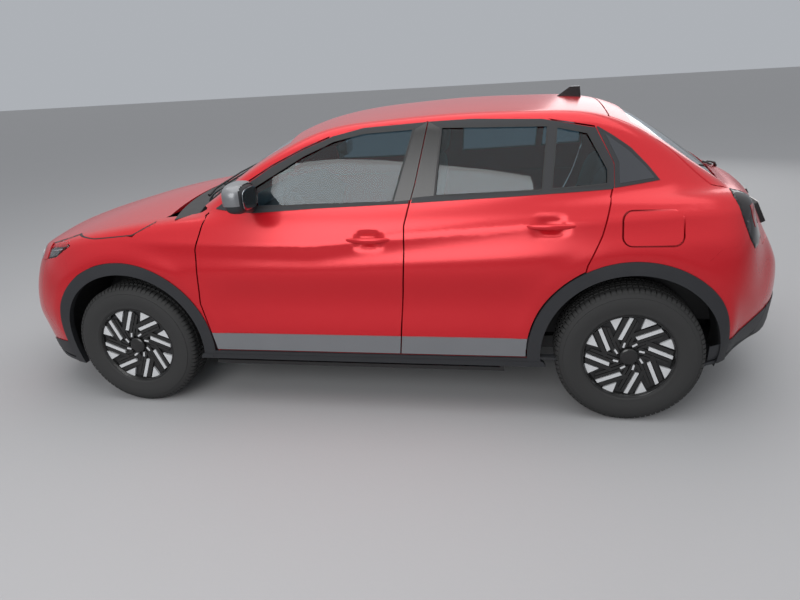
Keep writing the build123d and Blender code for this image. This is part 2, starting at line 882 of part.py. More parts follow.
front_seat_floor = floor_z + floor_t
seats = seat_shape(front_x + 930, 370, 520, 600, front_seat_floor, 1240)
seats += seat_shape(front_x + 930, -370, 520, 600, front_seat_floor, 1240)
seats += seat_shape(seat_step_x, 0, 2 * rear_well_y - 60, 680, rear_floor_z + floor_t, 1130)
save(seats, "seats")

# Door mirrors and the roof aerial
with BuildPart() as mirror_unit:
    with BuildSketch(Plane.YZ.offset(front_x + 702)):
        with Locations((-895, 1148)):
            RectangleRounded(176, 132, 40)
    extrude(amount=140)
    with BuildSketch(Plane.XY.offset(1060)):
        with Locations((front_x + 770, -800)):
            Rectangle(70, 60)
    extrude(amount=60)
mirror_piece = less(mirror_unit.part, outer)
save(mirror_piece, "mirror_l")
save(mirror(mirror_piece, about=Plane.XZ), "mirror_r")
with BuildPart() as fin:
    with BuildSketch(Plane.XZ.offset(-12)):
        with BuildLine():
            Polyline(
                (rear_x - 370, 1440),
                (rear_x - 250, height),
                (rear_x - 200, height),
                (rear_x - 190, 1440),
                close=True,
            )
        make_face()
    extrude(amount=24)
save(less(fin.part, outer), "antenna_fin")
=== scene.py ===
import json
from math import cos, pi, radians, sin

import bmesh
import bpy
import numpy as np
from bpy.props import FloatProperty, FloatVectorProperty, IntProperty, PointerProperty
from mathutils import Matrix, Vector
from mathutils.bvhtree import BVHTree


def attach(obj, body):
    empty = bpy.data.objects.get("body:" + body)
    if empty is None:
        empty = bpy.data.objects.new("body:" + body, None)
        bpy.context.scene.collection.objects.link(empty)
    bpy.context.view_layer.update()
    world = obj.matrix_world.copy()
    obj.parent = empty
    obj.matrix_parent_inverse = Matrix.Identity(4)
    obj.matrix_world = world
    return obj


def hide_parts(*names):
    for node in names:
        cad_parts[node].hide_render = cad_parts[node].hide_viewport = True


bl_info = {
    "name": "Compact SUV",
    "version": (1, 0, 0),
    "blender": (4, 5, 0),
    "location": "View3D > Sidebar > Car",
    "description": "Dresses a five-door compact SUV: paint, glass, trims, lamps, wheels and cabin",
    "category": "Object",
}

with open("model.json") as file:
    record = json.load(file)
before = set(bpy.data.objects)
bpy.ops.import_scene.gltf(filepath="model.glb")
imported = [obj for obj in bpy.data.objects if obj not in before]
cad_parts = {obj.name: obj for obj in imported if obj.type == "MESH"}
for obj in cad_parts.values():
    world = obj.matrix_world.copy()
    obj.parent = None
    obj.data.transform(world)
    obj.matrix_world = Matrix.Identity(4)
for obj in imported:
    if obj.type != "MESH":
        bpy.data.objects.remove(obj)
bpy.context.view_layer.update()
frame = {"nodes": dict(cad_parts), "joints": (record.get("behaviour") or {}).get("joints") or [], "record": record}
node_body = {node: body for body, nodes in frame["record"]["behaviour"]["bodies"].items() for node in nodes}
hinge_place = {joint["child"]: Vector(joint["pos_m"]) for joint in frame["joints"]}
mm = 0.001
front_x = hinge_place["wheel_front_l"].x / mm
rear_x = hinge_place["wheel_rear_l"].x / mm
b_pillar_x = front_x + 1480
sides = {"l": -1, "r": 1}
side_view = {"l": "left", "r": "right"}


# Settings that a user would change


def colour_setting(name, description, default):
    """A colour that the user can set."""
    return FloatVectorProperty(
        name=name, description=description, subtype="COLOR", default=default, min=0, max=1)


class SUV_PG_finish(bpy.types.PropertyGroup):
    """Colours of the body, its trims and its glass."""

    paint: colour_setting("Paint", "Body colour", (0.66, 0.0012, 0.004))
    trim: colour_setting("Trim", "Wheel opening trims", (0.024, 0.025, 0.028))
    cladding: colour_setting("Cladding", "Door cladding", (0.150, 0.155, 0.165))
    glass: colour_setting("Glass", "Tint of the windows", (0.30, 0.42, 0.48))


class SUV_PG_wheels(bpy.types.PropertyGroup):
    """Sizes of the wheel covers and the tread."""

    groups: IntProperty(
        name="Cover groups", description="Groups of slanted bars round a cover", default=8, min=3)
    pitches: IntProperty(
        name="Tread pitches", description="Rows of blocks round a tyre", default=84, min=12)
    cover_r: FloatProperty(
        name="Cover radius", description="Outer radius of the cover", default=0.2075, unit="LENGTH", min=0.05)


class SUV_PG_stage(bpy.types.PropertyGroup):
    """Floor, lamps and camera."""

    floor: colour_setting("Floor", "Colour of the floor", (0.40, 0.40, 0.405))
    lens: FloatProperty(
        name="Lens", description="Camera's focal length in millimetres", default=28.08, min=5)
    key_power: FloatProperty(
        name="Key light", description="Power of the large top light", default=100, min=0, unit="POWER")


# The smooth form of the outer skin, in millimetres. A row of the lower body is a section: its x from the
# near axle, the keel's height and half width, height and half width at the widest place and at the upper
# edge, and the height at the centre line. A row of the cabin has x, half width at its base, height and half
# width of the roof edge, and height at the centre line.

lower_front = [
    (-838, 330, 180, 450, 230, 560, 180, 575),
    (-812, 240, 380, 450, 460, 650, 330, 700),
    (-762, 205, 520, 450, 600, 770, 400, 828),
    (-682, 200, 630, 470, 700, 825, 520, 878),
    (-572, 200, 720, 500, 785, 862, 640, 912),
    (-402, 200, 800, 580, 850, 905, 760, 955),
    (-202, 200, 845, 680, 878, 945, 815, 1000),
    (48, 200, 862, 740, 885, 985, 825, 1035),
    (348, 200, 868, 740, 886, 1020, 812, 1052),
    (748, 200, 868, 740, 886, 1036, 806, 1056),
]
lower_rear = [
    (-1209, 200, 868, 740, 886, 1046, 802, 1066),
    (-500, 200, 868, 750, 886, 1066, 797, 1086),
    (0, 215, 866, 760, 886, 1084, 785, 1106),
    (290, 240, 845, 750, 872, 1080, 745, 1106),
    (450, 260, 790, 700, 840, 1062, 690, 1100),
    (541, 270, 720, 650, 790, 1000, 640, 1065),
    (621, 280, 650, 600, 730, 850, 590, 1000),
    (676, 285, 580, 560, 670, 760, 540, 890),
    (736, 300, 470, 540, 560, 700, 450, 770),
    (776, 400, 280, 520, 330, 620, 280, 640),
]
cabin_front = [
    (262, 790, 1012, 640, 1046),
    (467, 838, 1074, 700, 1150),
    (667, 838, 1196, 728, 1276),
    (867, 838, 1306, 690, 1380),
    (1097, 838, 1404, 652, 1440),
    (1347, 838, 1438, 640, 1463),
]
cabin_rear = [
    (-809, 838, 1455, 632, 1482),
    (-409, 838, 1450, 630, 1478),
    (-189, 836, 1430, 626, 1466),
    (-59, 832, 1388, 622, 1436),
    (91, 826, 1306, 612, 1362),
    (291, 806, 1168, 600, 1226),
    (451, 760, 1060, 585, 1104),
    (500, 740, 1022, 575, 1066),
]
cabin_base = 960
station_step = 14
half_angles = 200
nose_caps = 14
station_blur = 1.3
angle_blur = 1.7
shoulder_line = np.array([
    (-1300, 925), (-723, 908), (-191, 898), (260, 934), (807, 971), (1175, 991), (1506, 1006),
])
handle_places = {"front": (94, 921), "rear": (937, 972)}
dish_depth, dish_z, dish_reach = 17, 610, 165
ridge_height, groove_depth, groove_drop = 4.5, 5, 70
flare_height, flare_z, flare_r = 5, 348, 505
haunch_height, haunch_z = 7, 905
cup_depth = 18
sill_tuck = 85
tail_tuck = 50
corner_levels = (300, 650, 950, 1050)
corner_insets = (105, 80, 50, 0)


def placed_rows(front_rows, rear_rows):
    """Section rows with x from the middle of the car."""
    rows = [(front_x + row[0], *row[1:]) for row in front_rows]
    rows += [(rear_x + row[0], *row[1:]) for row in rear_rows]
    return np.array(rows, float)


def spline(knots, values, at):
    """Every column of values along a smooth line through the knots."""
    count = len(knots)
    gap = np.diff(knots)[:, None]
    slope = np.diff(values, axis=0) / gap
    matrix = np.eye(count)
    right = np.zeros_like(values)
    for i in range(1, count - 1):
        matrix[i, i - 1:i + 2] = gap[i - 1, 0], 2 * (gap[i - 1, 0] + gap[i, 0]), gap[i, 0]
        right[i] = 6 * (slope[i] - slope[i - 1])
    bend = np.linalg.solve(matrix, right)
    k = np.clip(np.searchsorted(knots, at) - 1, 0, count - 2)
    step = gap[k]
    a = (knots[k + 1] - at)[:, None] / step
    b = 1 - a
    curve = ((a ** 3 - a) * bend[k] + (b ** 3 - b) * bend[k + 1]) * step ** 2 / 6
    return a * values[k] + b * values[k + 1] + curve


def sampled_rows(rows, step):
    """Section rows at even steps along the car's surface."""
    change = np.diff(rows, axis=0)
    lengths = np.sqrt(change[:, 0] ** 2 + (change[:, 1:] ** 2).mean(axis=1))
    knots = np.concatenate([[0], np.cumsum(lengths)])
    count = int(knots[-1] / step)
    return spline(knots, rows, np.linspace(0, knots[-1], count))


def crown(y_edge, z_edge, z_centre, count=40):
    """Points of the arc from an edge over the centre line."""
    rise = max(z_centre - z_edge, 0.5)
    radius = (y_edge ** 2 + rise ** 2) / (2 * rise)
    y = np.linspace(y_edge, 0, count)
    return np.stack([y, z_centre - radius + np.sqrt(np.maximum(radius ** 2 - y ** 2, 0))], axis=1)


def run(start, end, count=24):
    """Points of a straight run."""
    share = np.linspace(0, 1, count)[:, None]
    return np.array(start) * (1 - share) + np.array(end) * share


def lower_profile(row):
    """Half section of the lower body, from the keel over the side to the centre line."""
    _, z_low, y_low, z_mid, y_mid, z_top, y_top, z_centre = row
    across = max(y_mid - y_top, 0.5)
    up = z_top - z_mid
    radius = (across ** 2 + up ** 2) / (2 * across)
    angle = np.linspace(0, np.arctan2(up, radius - across), 30)
    side = np.stack([y_mid - radius + radius * np.cos(angle), z_mid + radius * np.sin(angle)], axis=1)
    return np.concatenate([run((0, z_low), (y_low, z_low)), run((y_low, z_low), (y_mid, z_mid)), side,
                           crown(y_top, z_top, z_centre)])


def cabin_profile(row):
    """Half section of the cabin, from its base over the roof edge to the centre line."""
    _, y_base, z_edge, y_edge, z_centre = row
    return np.concatenate([run((y_base, cabin_base), (y_edge, z_edge)), crown(y_edge, z_edge, z_centre)])


def polar(profile, z_mid, angles):
    """Distances of a half section from a point on the centre line."""
    y = profile[:, 0]
    z = profile[:, 1] - z_mid
    at = np.arctan2(z, y)
    far = np.hypot(y, z)
    order = np.argsort(at, kind="stable")
    return np.interp(angles, at[order], far[order], left=0)


def blurred(values, width, wrap_edges):
    """Values smoothed along their first axis."""
    reach = int(3 * width) + 1
    kernel = np.exp(-0.5 * (np.arange(-reach, reach + 1) / width) ** 2)
    kernel /= kernel.sum()
    padded = np.pad(values, [(reach, reach)] + [(0, 0)] * (values.ndim - 1), mode=wrap_edges)
    return sum(weight * padded[i:i + len(values)] for i, weight in enumerate(kernel))


def ramp(value, low, high):
    """A soft step from 0 at low to 1 at high."""
    share = np.clip((value - low) / (high - low), 0, 1)
    return share * share * (3 - 2 * share)


def stretch_between(value, low, high, soft):
    """1 between two limits, falling softly to 0 outside them."""
    return ramp(value, low - soft, low + soft) * (1 - ramp(value, high - soft, high + soft))


def swell(x, z, sideways):
    """How far the real skin stands out of the sections, in millimetres.

    It has dished doors, a shoulder line, flares over the wheels, haunches and cups behind the handles.
    """
    dish = np.cos(np.clip((z - dish_z) / dish_reach, -1, 1) * pi / 2) ** 2
    dish = stretch_between(x, -700, 880, 150) * dish
    line = np.interp(x, shoulder_line[:, 0], shoulder_line[:, 1])
    along = stretch_between(x, -1100, 1700, 220)
    crest = np.exp(-((z - line) / 20) ** 2) * ridge_height
    ridge = crest - np.exp(-((z - line + groove_drop) / 42) ** 2) * groove_depth
    out = -dish_depth * dish + ridge * along
    for wheel_x in (front_x, rear_x):
        rho = np.hypot(x - wheel_x, z - flare_z)
        out = out + flare_height * np.exp(-((rho - flare_r) / 45) ** 2) * ramp(z, 300, 420)
    haunch = np.exp(-((x - rear_x) / 330) ** 2 - ((z - haunch_z) / 80) ** 2)
    out = out + haunch_height * haunch
    for x_mid, z_mid in handle_places.values():
        out = out - cup_depth * np.exp(-((x - x_mid) / 62) ** 4 - ((z - z_mid) / 35) ** 4)
    return out * sideways


def drawn_in(points):
    """Places moved as the real body is, in metres: sills tucked up, rear corners rounder in plan."""
    moved = np.array(points, float)
    x, y, z = moved[..., 0] / mm, np.abs(moved[..., 1]) / mm, moved[..., 2] / mm
    outboard = ramp(y, 700, 850)
    sill = ((x > front_x) & (x < rear_x)) * sill_tuck * (1 - ramp(z, 205, 335)) * outboard
    tail = ramp(x, rear_x + 200, rear_x + 350) * tail_tuck * (1 - ramp(z, 250, 450)) * ramp(y, 300, 600)
    corner = np.interp(z, corner_levels, corner_insets)
    forward = corner * ramp(y, 250, 750) * ramp(x, rear_x + 350, rear_x + 700)
    moved[..., 0] -= forward * mm
    moved[..., 2] += (sill + tail) * mm
    return moved


class Skin:
    """The smooth outer skin as a grid, with the swell that the real panels have."""

    def __init__(self):
        lower = sampled_rows(placed_rows(lower_front, lower_rear), station_step)
        cabin = sampled_rows(placed_rows(cabin_front, cabin_rear), station_step)
        angles = np.linspace(-pi / 2, pi / 2, half_angles)
        x, mid, far = [], [], []
        for row in lower:
            z_mid = (row[1] + row[7]) / 2
            ring = polar(lower_profile(row), z_mid, angles)
            if cabin[0, 0] <= row[0] <= cabin[-1, 0]:
                cabin_row = [np.interp(row[0], cabin[:, 0], cabin[:, k]) for k in range(5)]
                ring = np.maximum(ring, polar(cabin_profile(cabin_row), z_mid, angles))
            x.append(row[0])
            mid.append(z_mid)
            far.append(ring)
        shares = np.arange(nose_caps, 0, -1) / (nose_caps + 0.5)
        x = np.array([x[0]] * nose_caps + x + [x[-1]] * nose_caps)
        mid = np.array([mid[0]] * nose_caps + mid + [mid[-1]] * nose_caps)
        head = [far[0] * share for share in shares[::-1]]
        tail = [far[-1] * share for share in shares]
        far = np.array(head + far + tail)
        x, mid, far = (blurred(values, station_blur, "edge") for values in (x, mid, far))
        far = blurred(far.T, angle_blur, "reflect").T
        y = far * np.cos(angles)
        z = mid[:, None] + far * np.sin(angles)
        y = np.concatenate([y, -y[:, -2:0:-1]], axis=1)
        z = np.concatenate([z, z[:, -2:0:-1]], axis=1)
        self.base = np.stack([np.broadcast_to(x[:, None], y.shape), y, z], axis=2) * mm
        self.base_normal = self.normals(self.base)
        sideways = ramp(np.abs(self.base_normal[:, :, 1]), 0.25, 0.6)
        out = swell(self.base[:, :, 0] / mm, self.base[:, :, 2] / mm, sideways) * mm
        self.full = drawn_in(self.base + self.base_normal * out[:, :, None])
        self.full_normal = self.normals(self.full)
        stations, ring = y.shape
        self.ring = ring
        quads = []
        for i in range(stations - 1):
            for j in range(ring):
                k = (j + 1) % ring
                quads.append((i * ring + j, i * ring + k, (i + 1) * ring + k, (i + 1) * ring + j))
        self.base_tree = BVHTree.FromPolygons(self.base.reshape(-1, 3).tolist(), quads)
        self.full_tree = BVHTree.FromPolygons(self.full.reshape(-1, 3).tolist(), quads)

    @staticmethod
    def normals(points):
        """Outward directions over the grid."""
        along = np.gradient(points, axis=0)
        round_ = np.roll(points, -1, axis=1) - np.roll(points, 1, axis=1)
        cross = np.cross(round_, along)
        cross /= np.maximum(np.linalg.norm(cross, axis=2, keepdims=True), 1e-9)
        centre = points.mean(axis=1, keepdims=True)
        inward = ((points - centre) * cross).sum() < 0
        return -cross if inward else cross

    def blend(self, points, faces, grid, *fields):
        """Fields of the grid at points that lie on its faces."""
        i = faces // self.ring
        j = faces % self.ring
        k = (j + 1) % self.ring
        origin = grid[i, j]
        along = grid[i + 1, j] - origin
        across = grid[i, k] - origin
        u = ((points - origin) * along).sum(1) / np.maximum((along ** 2).sum(1), 1e-12)
        v = ((points - origin) * across).sum(1) / np.maximum((across ** 2).sum(1), 1e-12)
        u = np.clip(u, 0, 1)[:, None]
        v = np.clip(v, 0, 1)[:, None]
        found = []
        for field in fields:
            low = field[i, j] * (1 - v) + field[i, k] * v
            high = field[i + 1, j] * (1 - v) + field[i + 1, k] * v
            found.append(low * (1 - u) + high * u)
        return found

    def settle(self, points):
        """Places and normals on the full skin of points that lie near the base skin."""
        hits = [self.base_tree.find_nearest(point) for point in points]
        at = np.array([hit[0] for hit in hits])
        faces = np.array([hit[2] for hit in hits])
        return self.blend(at, faces, self.base, self.full, self.full_normal)

    def seen(self, view, first, second):
        """Place and normal where a straight look from one side meets the full skin."""
        far = 3.0
        looks = {
            "left": (Vector((first, -far, second)), Vector((0, 1, 0))),
            "right": (Vector((first, far, second)), Vector((0, -1, 0))),
            "front": (Vector((-far, first, second)), Vector((1, 0, 0))),
            "rear": (Vector((far, first, second)), Vector((-1, 0, 0))),
            "top": (Vector((first, second, far)), Vector((0, 0, -1))),
        }
        hit = self.full_tree.ray_cast(*looks[view])
        if hit[0] is None:
            raise ValueError(f"nothing is seen from {view} at {first:.3f}, {second:.3f}")
        place = np.array([hit[0]])
        normal, = self.blend(place, np.array([hit[2]]), self.full, self.full_normal)
        return place[0], normal[0] / np.linalg.norm(normal[0])


skin = Skin()


# Shader groups and materials


def shader_group(name, inputs, outputs):
    """An empty node group with the named sockets, and its two end nodes."""
    tree = bpy.data.node_groups.new(name, "ShaderNodeTree")
    for title, kind, value in inputs:
        socket = tree.interface.new_socket(name=title, in_out="INPUT", socket_type=kind)
        socket.default_value = value
    for title, kind in outputs:
        tree.interface.new_socket(name=title, in_out="OUTPUT", socket_type=kind)
    return tree, tree.nodes.new("NodeGroupInput"), tree.nodes.new("NodeGroupOutput")


def wired(tree, kind, inputs, **settings):
    """A node whose inputs are set to values or linked to other nodes' outputs."""
    node = tree.nodes.new(kind)
    for name, value in settings.items():
        setattr(node, name, value)
    for title, value in inputs.items():
        if isinstance(value, bpy.types.NodeSocket):
            tree.links.new(value, node.inputs[title])
        else:
            node.inputs[title].default_value = value
    return node


def mottle_group():
    """Colour and roughness that wander softly over a surface."""
    tree, start, end = shader_group(
        "Mottle",
        [("Colour", "NodeSocketColor", (1, 1, 1, 1)), ("Scale", "NodeSocketFloat", 6.0),
         ("Amount", "NodeSocketFloat", 0.1), ("Roughness", "NodeSocketFloat", 0.5)],
        [("Colour", "NodeSocketColor"), ("Roughness", "NodeSocketFloat")],
    )
    given = start.outputs
    place = tree.nodes.new("ShaderNodeTexCoord").outputs["Object"]
    noise = wired(tree, "ShaderNodeTexNoise", {"Vector": place, "Scale": given["Scale"], "Detail": 5})
    swing = wired(tree, "ShaderNodeMath", {0: noise.outputs["Fac"], 1: 0.5}, operation="SUBTRACT")
    grow = wired(tree, "ShaderNodeMath", {0: swing.outputs[0], 1: given["Amount"]}, operation="MULTIPLY")
    level = wired(tree, "ShaderNodeMath", {0: grow.outputs[0], 1: 1}).outputs[0]
    tone = wired(tree, "ShaderNodeVectorMath", {0: given["Colour"], "Scale": level}, operation="SCALE")
    rough = wired(tree, "ShaderNodeMath", {0: given["Roughness"], 1: level}, operation="MULTIPLY")
    tree.links.new(tone.outputs[0], end.inputs["Colour"])
    tree.links.new(rough.outputs[0], end.inputs["Roughness"])
    return tree


def grain_group():
    """A fine moulded or woven relief, as a normal."""
    tree, start, end = shader_group(
        "Grain",
        [("Scale", "NodeSocketFloat", 900.0), ("Strength", "NodeSocketFloat", 0.2),
         ("Depth", "NodeSocketFloat", 0.0002), ("Stretch", "NodeSocketFloat", 1.0)],
        [("Normal", "NodeSocketVector"), ("Height", "NodeSocketFloat")],
    )
    given = start.outputs
    place = tree.nodes.new("ShaderNodeTexCoord").outputs["Object"]
    pulled = wired(tree, "ShaderNodeCombineXYZ", {0: 1, 1: 1, 2: given["Stretch"]})
    spread = wired(tree, "ShaderNodeVectorMath", {0: place, 1: pulled.outputs[0]}, operation="MULTIPLY")
    cells = wired(tree, "ShaderNodeTexVoronoi", {"Vector": spread.outputs[0], "Scale": given["Scale"]})
    height = cells.outputs["Distance"]
    bump = wired(tree, "ShaderNodeBump", {
        "Height": height, "Strength": given["Strength"], "Distance": given["Depth"]})
    tree.links.new(bump.outputs["Normal"], end.inputs["Normal"])
    tree.links.new(height, end.inputs["Height"])
    return tree


effects = {"mottle": mottle_group(), "grain": grain_group()}


def surface(name, colour, rough, mottle=(6, 0.12), grain=None, **sockets):
    """A Principled material whose colour and roughness wander, with a grain if asked. Made once per name."""
    if name in bpy.data.materials:
        return bpy.data.materials[name]
    material = bpy.data.materials.new(name)
    material.use_nodes = True
    tree = material.node_tree
    shader = tree.nodes["Principled BSDF"]
    wander = tree.nodes.new("ShaderNodeGroup")
    wander.node_tree = effects["mottle"]
    for title, value in zip(("Colour", "Scale", "Amount", "Roughness"), ((*colour, 1), *mottle, rough)):
        wander.inputs[title].default_value = value
    tree.links.new(wander.outputs["Colour"], shader.inputs["Base Color"])
    tree.links.new(wander.outputs["Roughness"], shader.inputs["Roughness"])
    if grain:
        relief = tree.nodes.new("ShaderNodeGroup")
        relief.node_tree = effects["grain"]
        for title, value in zip(("Scale", "Strength", "Depth", "Stretch"), grain):
            relief.inputs[title].default_value = value
        tree.links.new(relief.outputs["Normal"], shader.inputs["Normal"])
    for title, value in sockets.items():
        shader.inputs[title.replace("_", " ")].default_value = value
    return material


def finish_settings():
    """The colours that the user set."""
    return bpy.context.scene.suv_finish


def body_paint():
    """Glossy solid red under a clear coat."""
    return surface("body_paint", tuple(finish_settings().paint), 0.32, (3, 0.05), (14, 0.012, 0.0006, 1),
                   Coat_Weight=1.0, Coat_Roughness=0.02, Coat_IOR=1.32, Specular_IOR_Level=0.05)


def trim_plastic():
    """Grained dark grey plastic of the wheel opening trims."""
    return surface("trim_plastic", tuple(finish_settings().trim), 0.52, (9, 0.25), (1100, 0.35, 0.0002, 1),
                   Specular_IOR_Level=0.3)


def cladding_plastic():
    """Satin grey plastic of the door cladding."""
    colour = tuple(finish_settings().cladding)
    return surface("cladding_plastic", colour, 0.38, (5, 0.12), (1300, 0.15, 0.0001, 1))


def black_plastic_and_seam_shade():
    """Plain black moulding inside openings and under the body; also the painted shade of the hood seams."""
    return surface("black_plastic_and_seam_shade", (0.006, 0.006, 0.007), 0.55, (12, 0.3), (900, 0.3, 0.0002, 1))


def gloss_black():
    """Polished black covers."""
    return surface("gloss_black", (0.006, 0.006, 0.007), 0.09, (8, 0.15),
                   Coat_Weight=0.5, Coat_Roughness=0.04)


def silver_paint():
    """Bright silver of the cover bars and lamp rings."""
    return surface("silver_paint", (0.62, 0.63, 0.64), 0.30, (30, 0.10), Metallic=0.25)


def cap_silver():
    """Satin silver of the mirror caps."""
    return surface("cap_silver", (0.17, 0.175, 0.185), 0.34, (10, 0.08), Metallic=0.35, Coat_Weight=0.4)


def window_glass():
    """Tinted glass."""
    return surface("window_glass", tuple(finish_settings().glass), 0.012, (2, 0.04),
                   Transmission_Weight=1.0, IOR=1.45)


def clear_lens():
    """Clear lamp cover."""
    return surface("clear_lens", (0.95, 0.96, 0.97), 0.015, (2, 0.02), Transmission_Weight=1.0, IOR=1.4)


def red_lens():
    """Deep red lamp cover."""
    return surface("red_lens", (0.30, 0.004, 0.006), 0.08, (20, 0.12), Coat_Weight=0.8)


def smoked_lens():
    """Nearly black lamp cover."""
    return surface("smoked_lens", (0.012, 0.010, 0.012), 0.08, (12, 0.1), Specular_IOR_Level=0.35)


def privacy_glass():
    """Dark pane with nothing seen through it."""
    return surface("privacy_glass", (0.012, 0.016, 0.024), 0.03, (3, 0.05), Specular_IOR_Level=0.8)


def lamp_chrome():
    """Bright reflector."""
    return surface("lamp_chrome", (0.75, 0.76, 0.78), 0.12, (40, 0.1), Metallic=1.0)


def lamp_smoke():
    """Dark lamp housing."""
    return surface("lamp_smoke", (0.02, 0.021, 0.023), 0.25, (25, 0.2))


def mirror_face():
    """Mirror glass."""
    return surface("mirror_face", (0.30, 0.32, 0.34), 0.02, (3, 0.02), Metallic=1.0)


def tyre_rubber():
    """Dusty black rubber."""
    return surface("tyre_rubber", (0.014, 0.015, 0.017), 0.72, (24, 0.35), (600, 0.25, 0.0002, 1),
                   Specular_IOR_Level=0.25)


def seat_cloth():
    """Grey woven seat fabric."""
    return surface("seat_cloth", (0.085, 0.086, 0.09), 0.85, (60, 0.25), (1500, 0.5, 0.0003, 2.2),
                   Sheen_Weight=0.25)


def soft_plastic():
    """Leather-grained plastic of the dashboard."""
    return surface("soft_plastic", (0.026, 0.026, 0.028), 0.6, (15, 0.2), (700, 0.4, 0.0003, 1))


def dark_steel():
    """Painted chassis steel."""
    return surface("dark_steel", (0.02, 0.02, 0.021), 0.5, (18, 0.4), (260, 0.2, 0.0003, 1), Metallic=0.2)


def cast_metal():
    """Rough cast metal."""
    return surface("cast_metal", (0.17, 0.17, 0.175), 0.5, (30, 0.3), (420, 0.4, 0.0004, 1), Metallic=0.85)


def plate_white():
    """Blank registration plate."""
    return surface("plate_white", (0.72, 0.72, 0.70), 0.35, (12, 0.05), Coat_Weight=0.3)


# Making and finishing meshes. What is multiplied by mm is in metres, the other measures in millimetres.

panel_edge = 26 * mm
cup_edge = 8 * mm
cup_reach_x, cup_reach_z = 120, 62
weld_gap = 0.02 * mm
sliver = 0.01 * mm
skin_depth = 30 * mm
tail_depth = 90 * mm
inner_depth = 16 * mm
sheet_wall = 2.5 * mm
sheet_step = 14
slot_of = {row["node"]: row["material_slot"] for row in frame["record"]["subparts"]}


def shown(name, mesh, material, body, replaces=()):
    """A finished mesh as a piece that rides on a body."""
    piece = bpy.data.objects.new(name, mesh)
    bpy.context.scene.collection.objects.link(piece)
    mesh.materials.clear()
    mesh.materials.append(material)
    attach(piece, body)
    if replaces:
        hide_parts(*replaces)
    return piece


def solid(name, shape, sharp_degrees, material, body, stands_for=(), recalculate=True):
    """A piece from vertices and faces, with creases where faces meet sharply."""
    mesh = smooth_mesh(name, *shape, sharp_degrees, recalculate)
    return shown(name, mesh, material, body, stands_for)


def smooth_mesh(name, verts, faces, sharp_degrees, recalculate):
    """A mesh that shades smoothly, with creases where faces meet sharply."""
    mesh = bpy.data.meshes.new(name)
    mesh.from_pydata([tuple(v) for v in verts], [], faces)
    work = bmesh.new()
    work.from_mesh(mesh)
    if recalculate:
        bmesh.ops.remove_doubles(work, verts=work.verts, dist=sliver)
        bmesh.ops.recalc_face_normals(work, faces=work.faces)
    crease(work, sharp_degrees)
    work.to_mesh(mesh)
    work.free()
    return mesh


def mesh_from(work, name):
    """A mesh from a bmesh, which is freed."""
    mesh = bpy.data.meshes.new(name)
    work.to_mesh(mesh)
    work.free()
    return mesh


def thicken(piece, direction):
    """Gives a sheet its wall, inwards for -1 and outwards for 1."""
    wall = piece.modifiers.new("wall", "SOLIDIFY")
    wall.thickness = sheet_wall
    wall.offset = direction


def crease(work, sharp_degrees):
    """Smooth shading over a mesh, with its sharp edges marked."""
    limit = radians(sharp_degrees)
    for face in work.faces:
        face.smooth = True
    for edge in work.edges:
        edge.smooth = len(edge.link_faces) == 2 and edge.calc_face_angle(0) < limit


def edge_limit(edge):
    """The longest edge wanted at a place: short round the handle cups."""
    middle = (edge.verts[0].co + edge.verts[1].co) / 2 / mm
    for x_mid, z_mid in handle_places.values():
        if abs(middle.x - x_mid) < cup_reach_x and abs(middle.z - z_mid) < cup_reach_z:
            return cup_edge
    return panel_edge


def split_long(work, rounds):
    """Divides the long edges between tagged vertices until none is left."""
    for _ in range(rounds):
        long_edges = [e for e in work.edges
                      if e.verts[0].tag and e.verts[1].tag and e.calc_length() > edge_limit(e)]
        if not long_edges:
            return
        made = bmesh.ops.subdivide_edges(work, edges=long_edges, cuts=1)
        for item in made["geom_inner"]:
            if isinstance(item, bmesh.types.BMVert):
                item.tag = True
        bmesh.ops.triangulate(work, faces=[f for f in work.faces if len(f.verts) > 3])


def settled_copy(node, work):
    """Fills a bmesh with a copy of a CAD node, its outer faces laid on the full skin.

    Gives the skin's normal for each vertex that lies on it.
    """
    work.from_mesh(frame["nodes"][node].data)
    bmesh.ops.remove_doubles(work, verts=work.verts, dist=weld_gap)
    bmesh.ops.dissolve_degenerate(work, edges=work.edges, dist=sliver)
    bmesh.ops.triangulate(work, faces=work.faces)
    work.normal_update()
    tail_x = (rear_x + 600) * mm
    for vert in work.verts:
        hit = skin.base_tree.find_nearest(vert.co, tail_depth if vert.co.x > tail_x else skin_depth)
        vert.tag = hit[0] is not None and any(face.normal.dot(hit[1]) > 0.5 for face in vert.link_faces)
    split_long(work, 9)
    work.verts.index_update()
    outer = [v for v in work.verts if v.tag]
    for vert in work.verts:
        if not vert.tag:
            hit = skin.base_tree.find_nearest(vert.co, tail_depth)
            if vert.co.x > tail_x and hit[0] is not None and (vert.co - hit[0]).dot(hit[1]) > -inner_depth:
                vert.co = hit[0] - hit[1] * inner_depth
            vert.co = drawn_in(vert.co)
    places, normals = skin.settle([v.co for v in outer])
    normal_of = {}
    for vert, place, normal in zip(outer, places, normals):
        vert.co = place
        normal_of[vert.index] = normal / np.linalg.norm(normal)
    return normal_of


